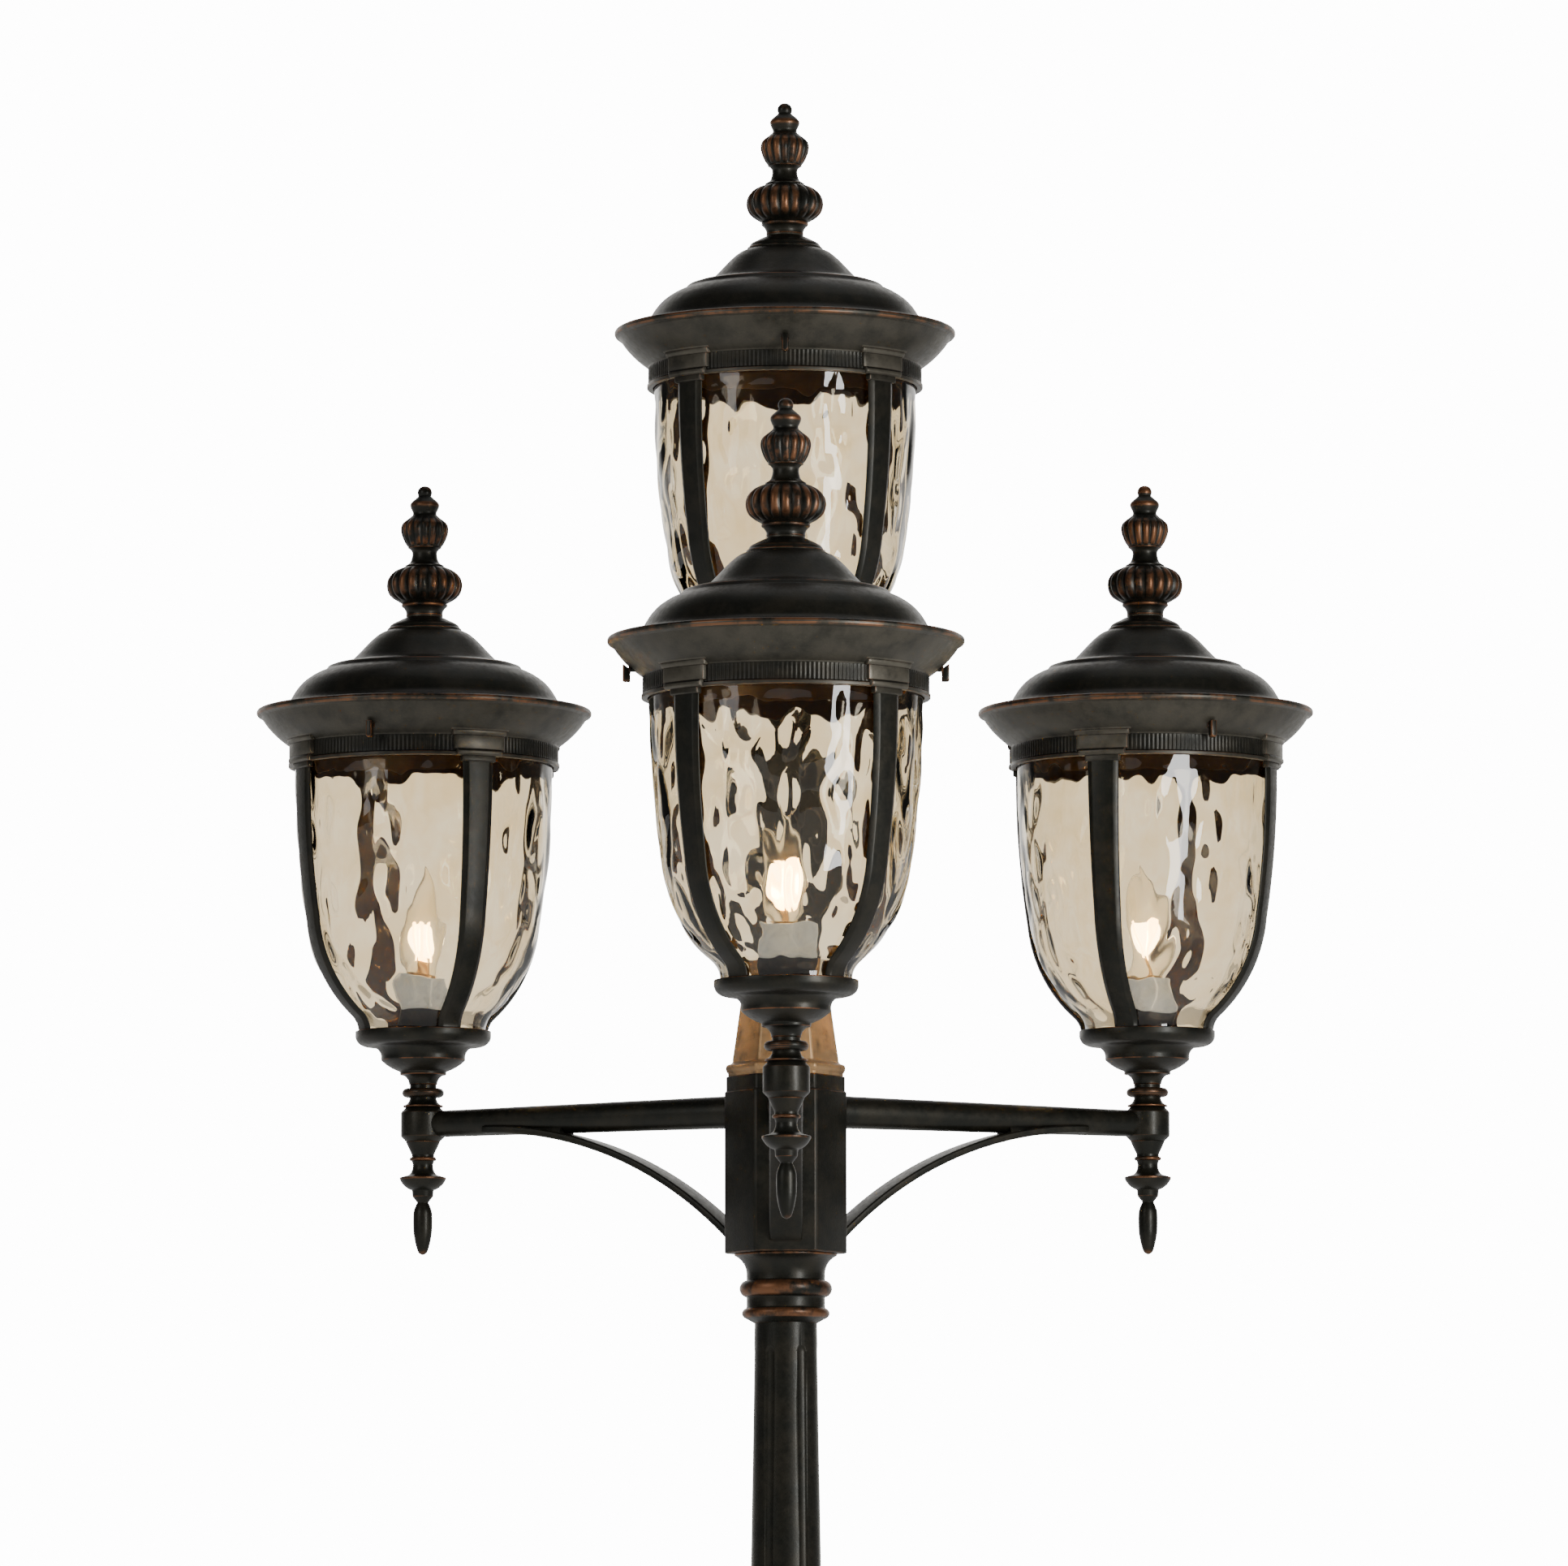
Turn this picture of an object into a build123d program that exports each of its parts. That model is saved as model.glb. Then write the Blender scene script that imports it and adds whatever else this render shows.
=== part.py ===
from build123d import *
import os
from math import cos, hypot, radians, sin, sqrt

# Four-head lamp post: a fluted post on a moulded base, a hexagonal hub with
# three arms, and four alike glass lanterns, one of them raised on a riser.
# Millimetres, +Z up, origin on the post's axis at the base's underside,
# -Y towards the front arm.

# Layout
ARM_REACH = 314.0
ARM_HEIGHT = 105.5
ARM_AZIMUTHS = {"front": -90.0, "right": 30.0, "left": 150.0}
LANTERN_YAWS = {"top": 0.0, "front": 90.0, "right": 24.0, "left": -19.0}

# Clearances
RUNNING_FIT = 0.06
SLIP_FIT = 0.2
GLASS_GAP = 0.6
LIFT_GAP = 0.4

# Base casting
FLANGE_R = 120.0
FLANGE_T = 14.0
BASE_HEIGHT = 300.0
BASE_PLINTH_R = 103.0
BASE_BELL_R = 88.0
BASE_NECK_R = 57.0
BASE_RING_R = 63.0
BASE_WALL = 9.0
CABLE_R = 40.0
ANCHOR_PCD = 190.0
ANCHOR_COUNT = 4
ANCHOR_R = 6.5
POST_SEAT_DEPTH = 70.0

# Post
POST_LENGTH = 1403.0
POST_FOOT_R = 45.0
POST_TOP_R = 22.9
POST_WALL = 4.4
SPIGOT_R = 21.0
SPIGOT_LENGTH = 38.0
FLUTE_COUNT = 6
FLUTE_R = 5.0
FLUTE_DEPTH = 1.4
FLUTE_MARGIN = 17.0

# Neck collar between the post and the hub
COLLAR_HEIGHT = 51.0
COLLAR_TOP_R = 37.7
COLLAR_NECK_R = 28.8
COLLAR_BEAD_R = 34.0
COLLAR_RING_R = 32.2
WIRE_HOLE_R = 14.0

# Hub
HUB_FLATS = 78.8
HUB_HEIGHT = 130.0
HUB_WALL = 5.0
HUB_FLOOR = 8.0
HUB_BEVEL = 1.6
HUB_BAND_HEIGHT = 11.0
HUB_BAND_INSET = 1.0

# Riser under the raised lantern
RISER_HEIGHT = 254.0
RISER_FOOT_FLATS = 77.4
RISER_WAIST_FLATS = 68.6
RISER_TOP_FLATS = 31.4
RISER_BEAD = 5.5
RISER_WALL = 5.0
RISER_CAP = 12.0

# Arms
ARM_ROOT_R = 12.0
ARM_TIP_R = 9.8
ARM_SPIGOT_R = 8.0
ARM_WIRE_R = 4.0
BOSS_R = 16.6
BOSS_HEIGHT = 26.0
BOSS_CHAMFER = 4.0
BRACE_WIDTH = 24.0
BRACE_THICKNESS = 5.5
BRACE_ARC_R = 305.0
BRACE_TIP = 255.0
BRACE_FORK = 188.0
BRACE_BURY = 1.2

# Threaded tube through each lantern's foot
NIPPLE_R = 4.85
NIPPLE_BORE_R = 3.3
NIPPLE_BELOW = 38.0
NIPPLE_ABOVE = 9.0

# Pendant
PENDANT_TOP_R = 12.8
PENDANT_NECK_R = 8.4
PENDANT_RING_R = 10.1
PENDANT_DISC_R = 17.4
PENDANT_DROP_R = 7.1
PENDANT_LENGTH = 85.0
PENDANT_BORE = 14.0

# Lantern foot
STEM_HEIGHT = 17.0
STEM_FOOT_R = 15.0
STEM_NECK_R = 10.0
STEM_RING_R = 15.8
STEM_RING_HALF = 2.3
CUP_HEIGHT = 40.0
CUP_FOOT_R = 10.6
CUP_STEP_R = 15.8
CUP_WAIST_R = 31.6
CUP_RIM_R = 51.0
CUP_FLOOR = 33.0

# Glass
GLASS_HEIGHT = 221.5
GLASS_FOOT_R = 46.6
GLASS_BODY_R = 88.9
GLASS_LIP_R = 97.2
GLASS_WALL = 3.0

# Cage
RIB_HEIGHT = 199.0
RIB_THICKNESS = 3.4
RIB_TOP_WIDTH = 24.6
RIB_FOOT_WIDTH = 18.5
BAND_HEIGHT = 16.7
BAND_LIP = 2.6
OVOLO_HEIGHT = 15.9
OVOLO_R = 121.4
CAPITAL_PROUD = 5.6
CAPITAL_WIDTH = 47.0

# Roof
EAVE_R = 126.3
SEAT_WIDTH = 3.0
DOME_HEIGHT = 83.0
STEP_R = 71.0
LEDGE_R = 57.0
BUTTON_R = 26.5
ROOF_NECK_R = 13.8
ROOF_WALL = 2.8
SKIRT_R = 95.0
SKIRT_WALL = 2.6
SKIRT_DEPTH = 17.0
STUD_R = 4.0
STUD_LENGTH = 14.0

# Finial
FINIAL_HEIGHT = 98.4
FINIAL_LOWER_R = 28.5
FINIAL_UPPER_R = 17.9
FINIAL_KNOP_R = 11.0
FINIAL_BALL_R = 5.5
FINIAL_NECK_R = 9.4
FINIAL_LOWER_LOBES = 20
FINIAL_LOWER_VALLEY = 2.6
FINIAL_UPPER_LOBES = 16
FINIAL_UPPER_VALLEY = 1.9

# Thumbscrews
SCREW_R = 1.95
SCREW_DROP = 11.4
TAB_INNER_R = 109.9
TAB_OUTER_R = 115.3
TAB_WIDTH = 5.0
TAB_LENGTH = 9.2

# Socket and bulb
HUSK_R = 20.0
HUSK_HEIGHT = 20.0
SOCKET_R = 19.0
SOCKET_HEIGHT = 26.0
SOCKET_DEPTH = 23.0
CAP_R = 13.0
CAP_HEIGHT = 25.0
CONTACT_R = 5.0
BULB_R = 17.5
BULB_HEIGHT = 84.0
BULB_BELLY_RISE = 30.2
BULB_SHOULDER_R = 4.6
BULB_SHOULDER_DROP = 10.9
BULB_WALL = 1.0
BULB_STEM_R = 3.0
BULB_STEM_HEIGHT = 34.0

# Heights worked out from the sizes above
POST_FOOT_Z = BASE_HEIGHT - POST_SEAT_DEPTH
POST_TOP_Z = POST_FOOT_Z + POST_LENGTH
HUB_Z = POST_TOP_Z + COLLAR_HEIGHT
HUB_TOP_Z = HUB_Z + HUB_HEIGHT
ARM_Z = HUB_Z + ARM_HEIGHT
BOSS_TOP_Z = ARM_Z + BOSS_HEIGHT / 2
RISER_TOP_Z = HUB_TOP_Z + RISER_HEIGHT
CUP_TOP = STEM_HEIGHT + CUP_HEIGHT
GLASS_FOOT = STEM_HEIGHT + CUP_FLOOR
GLASS_LIP = GLASS_FOOT + GLASS_HEIGHT
BAND_FOOT = CUP_TOP + RIB_HEIGHT
BAND_TOP = BAND_FOOT + BAND_HEIGHT
CAGE_TOP = BAND_TOP + OVOLO_HEIGHT
ROOF_TOP = CAGE_TOP + DOME_HEIGHT
SCREW_HEIGHT = CAGE_TOP - SCREW_DROP
HUSK_TOP = GLASS_FOOT + HUSK_HEIGHT
SOCKET_TOP = HUSK_TOP + SOCKET_HEIGHT
CAP_FOOT = SOCKET_TOP - SOCKET_DEPTH + LIFT_GAP
CAP_TOP = CAP_FOOT + CAP_HEIGHT

# Radii worked out from the sizes above
BAND_INNER_R = GLASS_LIP_R + GLASS_GAP
BAND_R = BAND_INNER_R + RIB_THICKNESS
NIPPLE_HOLE_R = NIPPLE_R + RUNNING_FIT


def lantern_seat(name: str) -> Plane:
    """Level plane at a lantern's foot, turned by its yaw."""
    yaw = radians(LANTERN_YAWS[name])
    if name == "top":
        origin = (0, 0, RISER_TOP_Z)
    else:
        azimuth = radians(ARM_AZIMUTHS[name])
        origin = (ARM_REACH * cos(azimuth), ARM_REACH * sin(azimuth), BOSS_TOP_Z)
    return Plane(origin=origin, x_dir=(cos(yaw), sin(yaw), 0), z_dir=(0, 0, 1))


def upright(seat: Plane, turn: float = 0.0) -> Plane:
    """Upright plane through a seat's axis: local x outwards, local y up."""
    outwards = seat.x_dir.rotate(Axis((0, 0, 0), (0, 0, 1)), turn)
    return Plane(origin=seat.origin, x_dir=outwards, z_dir=outwards.cross(seat.z_dir))


def facing(seat: Plane, turn: float = 0.0) -> Plane:
    """Upright plane at a seat's axis that looks outwards, local y up."""
    outwards = upright(seat, turn).x_dir
    return Plane(origin=seat.origin, x_dir=seat.z_dir.cross(outwards), z_dir=outwards)


def turn_about(seat: Plane) -> Axis:
    """The upright axis of a seat."""
    return Axis(seat.origin, seat.z_dir)


GROUND = Plane.XY
HUB_SEAT = Plane.XY.offset(HUB_Z)


def make_base() -> Part:
    """Moulded base casting: flange, plinth bead, bell and post socket."""
    bead = 12.0
    bell_foot = FLANGE_T + bead + 8.0
    ring_foot = POST_FOOT_Z + 4.0
    ring_height = 16.0
    cavity_top_r = POST_FOOT_R - POST_WALL
    with BuildPart() as base:
        with BuildSketch(upright(GROUND)):
            with BuildLine():
                Polyline((0, BASE_HEIGHT), (0, 0), (FLANGE_R, 0), (FLANGE_R, FLANGE_T - 3.0))
                Line((FLANGE_R, FLANGE_T - 3.0), (FLANGE_R - 3.0, FLANGE_T))
                Line((FLANGE_R - 3.0, FLANGE_T), (BASE_PLINTH_R - 3.0, FLANGE_T))
                ThreePointArc(
                    (BASE_PLINTH_R - 3.0, FLANGE_T),
                    (BASE_PLINTH_R + 3.0, FLANGE_T + bead / 2),
                    (BASE_PLINTH_R - 3.0, FLANGE_T + bead),
                )
                Line((BASE_PLINTH_R - 3.0, FLANGE_T + bead), (BASE_BELL_R, bell_foot))
                TangentArc((BASE_NECK_R, ring_foot), (BASE_BELL_R, bell_foot), tangent=(0, -1))
                Line((BASE_NECK_R, ring_foot), (BASE_NECK_R + 1.0, ring_foot))
                ThreePointArc(
                    (BASE_NECK_R + 1.0, ring_foot),
                    (BASE_RING_R, ring_foot + ring_height / 2),
                    (BASE_NECK_R + 1.0, ring_foot + ring_height),
                )
                Line((BASE_NECK_R + 1.0, ring_foot + ring_height), (BASE_NECK_R, ring_foot + ring_height))
                Line((BASE_NECK_R, ring_foot + ring_height), (BASE_NECK_R, BASE_HEIGHT - 6.0))
                Line((BASE_NECK_R, BASE_HEIGHT - 6.0), (BASE_NECK_R - 5.0, BASE_HEIGHT))
                Line((BASE_NECK_R - 5.0, BASE_HEIGHT), (0, BASE_HEIGHT))
            make_face()
        revolve(axis=turn_about(GROUND))
        # The cavity follows the bell, and the flange keeps a round cable hole
        with BuildSketch(upright(GROUND)):
            with BuildLine():
                Polyline(
                    (0, POST_FOOT_Z),
                    (0, FLANGE_T),
                    (BASE_BELL_R - BASE_WALL, FLANGE_T),
                    (BASE_BELL_R - BASE_WALL, bell_foot - BASE_WALL),
                )
                TangentArc(
                    (cavity_top_r, POST_FOOT_Z),
                    (BASE_BELL_R - BASE_WALL, bell_foot - BASE_WALL),
                    tangent=(0, -1),
                )
                Line((cavity_top_r, POST_FOOT_Z), (0, POST_FOOT_Z))
            make_face()
        revolve(axis=turn_about(GROUND), mode=Mode.SUBTRACT)
        with BuildSketch(GROUND):
            Circle(CABLE_R)
            with PolarLocations(ANCHOR_PCD / 2, ANCHOR_COUNT, start_angle=45):
                Circle(ANCHOR_R)
        extrude(amount=FLANGE_T, mode=Mode.SUBTRACT)
        with BuildSketch(GROUND.offset(POST_FOOT_Z)):
            Circle(POST_FOOT_R + SLIP_FIT)
        extrude(amount=POST_SEAT_DEPTH, mode=Mode.SUBTRACT)
    return base.part


def make_post() -> Part:
    """Tapering hollow shaft with shallow round-ended flutes."""
    taper_foot = BASE_HEIGHT
    lean = (POST_FOOT_R - POST_TOP_R) / (POST_TOP_Z - taper_foot)
    flute_foot = taper_foot + FLUTE_MARGIN
    flute_top = POST_TOP_Z - FLUTE_MARGIN
    inset = FLUTE_R - FLUTE_DEPTH
    axis_foot = POST_FOOT_R - lean * FLUTE_MARGIN + inset
    axis_top = POST_TOP_R + lean * FLUTE_MARGIN + inset
    length = hypot(flute_top - flute_foot, axis_foot - axis_top)
    turns = [radians(step * 360 / FLUTE_COUNT) for step in range(FLUTE_COUNT)]
    flute_planes = [
        Plane(
            origin=(axis_foot * cos(turn), axis_foot * sin(turn), flute_foot),
            z_dir=(
                (axis_top - axis_foot) * cos(turn),
                (axis_top - axis_foot) * sin(turn),
                flute_top - flute_foot,
            ),
        )
        for turn in turns
    ]
    ends = [
        (radius * cos(turn), radius * sin(turn), height)
        for turn in turns
        for radius, height in ((axis_foot, flute_foot), (axis_top, flute_top))
    ]
    with BuildPart() as post:
        with BuildSketch(upright(GROUND)):
            with BuildLine():
                Polyline(
                    (POST_FOOT_R - POST_WALL, POST_FOOT_Z),
                    (POST_FOOT_R, POST_FOOT_Z),
                    (POST_FOOT_R, taper_foot),
                    (POST_TOP_R, POST_TOP_Z),
                    (SPIGOT_R, POST_TOP_Z),
                    (SPIGOT_R, POST_TOP_Z + SPIGOT_LENGTH),
                    (POST_TOP_R - POST_WALL, POST_TOP_Z + SPIGOT_LENGTH),
                    (POST_TOP_R - POST_WALL, POST_TOP_Z),
                    close=True,
                )
            make_face()
        revolve(axis=turn_about(GROUND))
        with BuildSketch(*flute_planes):
            Circle(FLUTE_R)
        extrude(amount=length, mode=Mode.SUBTRACT)
        with Locations(*ends):
            Sphere(FLUTE_R, mode=Mode.SUBTRACT)
    return post.part


def make_collar() -> Part:
    """Turned neck that caps the post and carries the hub."""
    ring_z = COLLAR_HEIGHT - 43.8
    bead_z = COLLAR_HEIGHT - 25.8
    bead_foot = bead_z - 6.2
    bead_top = bead_z + 6.2
    flare_foot = COLLAR_HEIGHT - 15.0
    flare_top = COLLAR_HEIGHT - 1.5
    seat = Plane.XY.offset(POST_TOP_Z)
    with BuildPart() as collar:
        with BuildSketch(upright(seat)):
            with BuildLine():
                Polyline(
                    (0, COLLAR_HEIGHT),
                    (0, 0),
                    (POST_TOP_R + SLIP_FIT, 0),
                    (COLLAR_NECK_R + 0.9, 3.6),
                    (COLLAR_RING_R, ring_z - 0.8),
                    (COLLAR_RING_R, ring_z + 0.8),
                    (COLLAR_NECK_R, ring_z + 4.4),
                    (COLLAR_NECK_R, bead_foot),
                )
                ThreePointArc((COLLAR_NECK_R, bead_foot), (COLLAR_BEAD_R, bead_z), (COLLAR_NECK_R, bead_top))
                Line((COLLAR_NECK_R, bead_top), (COLLAR_NECK_R, flare_foot))
                TangentArc((COLLAR_NECK_R, flare_foot), (COLLAR_TOP_R, flare_top), tangent=(0, 1))
                Polyline((COLLAR_TOP_R, flare_top), (COLLAR_TOP_R, COLLAR_HEIGHT), (0, COLLAR_HEIGHT))
            make_face()
        revolve(axis=turn_about(seat))
        with BuildSketch(seat):
            Circle(SPIGOT_R + RUNNING_FIT)
        extrude(amount=SPIGOT_LENGTH + LIFT_GAP, mode=Mode.SUBTRACT)
        with BuildSketch(seat.offset(SPIGOT_LENGTH)):
            Circle(WIRE_HOLE_R)
        extrude(amount=COLLAR_HEIGHT - SPIGOT_LENGTH, mode=Mode.SUBTRACT)
    return collar.part


def make_hub() -> Part:
    """Hexagonal hub casting, hollow above its floor, bored for the arms."""
    half = HUB_FLATS / 2
    arm_planes = [upright(HUB_SEAT.offset(ARM_HEIGHT), azimuth) for azimuth in ARM_AZIMUTHS.values()]
    bore_planes = [Plane(origin=plane.origin, z_dir=plane.x_dir) for plane in arm_planes]
    with BuildPart() as hub:
        with BuildSketch(HUB_SEAT):
            RegularPolygon(half, 6, major_radius=False)
        extrude(amount=HUB_HEIGHT)
        chamfer(hub.edges().filter_by(Axis.Z), HUB_BEVEL)
        # A slightly narrower band under the riser's moulding
        with BuildSketch(HUB_SEAT.offset(HUB_HEIGHT - HUB_BAND_HEIGHT)):
            RegularPolygon(half + HUB_WALL, 6, major_radius=False)
            RegularPolygon(half - HUB_BAND_INSET, 6, major_radius=False, mode=Mode.SUBTRACT)
        extrude(amount=HUB_BAND_HEIGHT, mode=Mode.SUBTRACT)
        with BuildSketch(HUB_SEAT.offset(HUB_FLOOR)):
            RegularPolygon(half - HUB_WALL, 6, major_radius=False)
        extrude(amount=HUB_HEIGHT - HUB_FLOOR, mode=Mode.SUBTRACT)
        with BuildSketch(HUB_SEAT):
            Circle(WIRE_HOLE_R)
        extrude(amount=HUB_FLOOR, mode=Mode.SUBTRACT)
        with BuildSketch(*bore_planes):
            Circle(ARM_SPIGOT_R + RUNNING_FIT)
        extrude(amount=HUB_FLATS, mode=Mode.SUBTRACT)
    return hub.part


def riser_outline() -> None:
    """Half of the riser's side view, from the axis round to the axis."""
    foot = RISER_FOOT_FLATS / 2
    waist = RISER_WAIST_FLATS / 2
    top = RISER_TOP_FLATS / 2
    bead_foot = RISER_BEAD / 2
    bead_top = bead_foot + RISER_BEAD
    Polyline(
        (0, RISER_HEIGHT),
        (0, 0),
        (foot - 1.5, 0),
        (foot - 1.5, bead_foot - 0.5),
        (foot - 0.6, bead_foot),
    )
    ThreePointArc((foot - 0.6, bead_foot), (foot, bead_foot + RISER_BEAD / 2), (foot - 0.6, bead_top))
    Line((foot - 0.6, bead_top), (waist, bead_top + 2.0))
    TangentArc((top, RISER_HEIGHT), (waist, bead_top + 2.0), tangent=(0, -1))
    Line((top, RISER_HEIGHT), (0, RISER_HEIGHT))


def make_riser() -> Part:
    """Six-sided tapering riser: three crossing profiles leave its hexagon."""
    seat = Plane.XY.offset(HUB_TOP_Z)
    cavity_foot = RISER_WAIST_FLATS / 2 - RISER_WALL
    cavity_top = RISER_TOP_FLATS / 2 - RISER_WALL + 1.0
    with BuildPart() as riser:
        for turn, mode in ((90, Mode.ADD), (30, Mode.INTERSECT), (150, Mode.INTERSECT)):
            with BuildSketch(upright(seat, turn)) as side:
                with BuildLine():
                    riser_outline()
                make_face()
                mirror(about=Plane.YZ)
            extrude(amount=RISER_FOOT_FLATS, both=True, mode=mode)
        with BuildSketch(upright(seat)):
            with BuildLine():
                Polyline((0, RISER_HEIGHT - RISER_CAP), (0, 0), (cavity_foot, 0))
                TangentArc((cavity_top, RISER_HEIGHT - RISER_CAP), (cavity_foot, 0), tangent=(0, -1))
                Line((cavity_top, RISER_HEIGHT - RISER_CAP), (0, RISER_HEIGHT - RISER_CAP))
            make_face()
        revolve(axis=turn_about(seat), mode=Mode.SUBTRACT)
        with BuildSketch(seat):
            Circle(NIPPLE_HOLE_R)
        extrude(amount=RISER_HEIGHT, mode=Mode.SUBTRACT)
    return riser.part


def brace_height(reach: float, rise: float) -> float:
    """Height of a brace arc over the arm's axis, rise over the lower arc."""
    slope = (ARM_ROOT_R - ARM_TIP_R) / (ARM_REACH - HUB_FLATS / 2)
    apex = BRACE_BURY - ARM_TIP_R - slope * (ARM_REACH - BRACE_TIP)
    radius = BRACE_ARC_R + rise
    return apex + rise - radius + sqrt(radius**2 - (BRACE_TIP - reach) ** 2)


def make_arm(azimuth: float) -> Part:
    """Tapering round arm with its end boss and the curved flat brace."""
    seat = Plane.XY.offset(ARM_Z)
    side = upright(seat, azimuth)
    root = HUB_FLATS / 2
    boss_centre = side.from_local_coords(Vector(ARM_REACH, -BOSS_HEIGHT / 2, 0))
    arm_axis = Axis(side.origin, side.x_dir)
    lower_root = (root, brace_height(root, 0.0))
    lower_tip = (BRACE_TIP, brace_height(BRACE_TIP, 0.0))
    upper_root = (root, brace_height(root, BRACE_THICKNESS))
    upper_fork = (BRACE_FORK, brace_height(BRACE_FORK, BRACE_THICKNESS))
    with BuildPart() as arm:
        with BuildSketch(Plane(origin=boss_centre)):
            Circle(BOSS_R)
        extrude(amount=BOSS_HEIGHT)
        chamfer(arm.edges().filter_by(GeomType.CIRCLE), BOSS_CHAMFER)
        with BuildSketch(side):
            with BuildLine():
                Polyline(
                    (root - HUB_WALL, 0),
                    (root - HUB_WALL, ARM_SPIGOT_R),
                    (root, ARM_SPIGOT_R),
                    (root, ARM_ROOT_R),
                    (ARM_REACH, ARM_TIP_R),
                    (ARM_REACH, 0),
                    close=True,
                )
            make_face()
        revolve(axis=arm_axis)
        with BuildSketch(side):
            with BuildLine():
                RadiusArc(lower_root, lower_tip, BRACE_ARC_R)
                Polyline(lower_tip, (BRACE_TIP, -ARM_SPIGOT_R), (BRACE_FORK, -ARM_SPIGOT_R), upper_fork)
                RadiusArc(upper_root, upper_fork, BRACE_ARC_R + BRACE_THICKNESS)
                Line(upper_root, lower_root)
            make_face()
        extrude(amount=BRACE_WIDTH / 2, both=True)
        with BuildSketch(Plane(origin=side.origin, z_dir=side.x_dir)):
            Circle(ARM_WIRE_R)
        extrude(amount=ARM_REACH, mode=Mode.SUBTRACT)
        with BuildSketch(Plane(origin=boss_centre)):
            Circle(NIPPLE_HOLE_R)
        extrude(amount=BOSS_HEIGHT, mode=Mode.SUBTRACT)
    return arm.part


def make_pendant(seat: Plane) -> Part:
    """Turned drop under an arm's boss, screwed on the nipple's lower end."""
    ring = -13.0
    ring_half = 1.4
    vase = (11.0, -25.0)
    disc_top = (PENDANT_DISC_R, -26.8)
    disc = (PENDANT_DISC_R, -28.0)
    saucer = (13.6, -33.4)
    saucer_foot = (8.2, -36.4)
    hip = (7.8, -41.0)
    waist = (4.2, -45.6)
    drop_top = (PENDANT_DROP_R, -54.0)
    drop_low = (PENDANT_DROP_R, -66.0)
    tip = (0, -PENDANT_LENGTH)
    point = (3.0, 1.6 - PENDANT_LENGTH)
    ring_top = (PENDANT_NECK_R, ring + ring_half)
    ring_foot = (PENDANT_NECK_R, ring - ring_half)
    collar_foot = (PENDANT_NECK_R - 0.8, ring - 4.2)
    with BuildPart() as pendant:
        with BuildSketch(upright(seat)):
            with BuildLine():
                Polyline(
                    tip,
                    (0, 0),
                    (PENDANT_TOP_R, 0),
                    (PENDANT_TOP_R - 0.6, -1.5),
                    (PENDANT_NECK_R, ring + 3.4),
                    ring_top,
                )
                ThreePointArc(ring_top, (PENDANT_RING_R, ring), ring_foot)
                Line(ring_foot, collar_foot)
                TangentArc(collar_foot, vase, tangent=(0, -1))
                Polyline(vase, disc_top, disc)
                ThreePointArc(disc, saucer, saucer_foot)
                Polyline(saucer_foot, hip, waist)
                TangentArc(drop_top, waist, tangent=(0, 1))
                Line(drop_top, drop_low)
                TangentArc(drop_low, point, tangent=(0, -1))
                Line(point, tip)
            make_face()
        revolve(axis=turn_about(seat))
        with BuildSketch(seat):
            Circle(NIPPLE_HOLE_R)
        extrude(amount=-PENDANT_BORE, mode=Mode.SUBTRACT)
    return pendant.part


def make_nipples() -> Part:
    """Threaded tubes, one up through the foot of each lantern."""
    feet = [lantern_seat(name).offset(-NIPPLE_BELOW) for name in LANTERN_YAWS]
    with BuildPart() as nipples:
        with BuildSketch(*feet):
            Circle(NIPPLE_R)
            Circle(NIPPLE_BORE_R, mode=Mode.SUBTRACT)
        extrude(amount=NIPPLE_BELOW + GLASS_FOOT + NIPPLE_ABOVE)
    return nipples.part


def make_stem(seat: Plane) -> Part:
    """Short turned neck with a disc ring, between boss or riser and cup."""
    ring = 10.7
    foot_top = (STEM_FOOT_R, 1.2)
    neck = (STEM_NECK_R, ring - 3.0)
    ring_foot = (STEM_NECK_R, ring - STEM_RING_HALF)
    ring_top = (STEM_NECK_R, ring + STEM_RING_HALF)
    with BuildPart() as stem:
        with BuildSketch(upright(seat)):
            with BuildLine():
                Polyline((0, STEM_HEIGHT), (0, 0), (STEM_FOOT_R, 0), foot_top)
                TangentArc(neck, foot_top, tangent=(0, -1))
                Line(neck, ring_foot)
                ThreePointArc(ring_foot, (STEM_RING_R, ring), ring_top)
                Polyline(ring_top, (STEM_NECK_R, STEM_HEIGHT), (0, STEM_HEIGHT))
            make_face()
        revolve(axis=turn_about(seat))
        with BuildSketch(seat):
            Circle(NIPPLE_HOLE_R)
        extrude(amount=STEM_HEIGHT, mode=Mode.SUBTRACT)
    return stem.part


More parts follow.
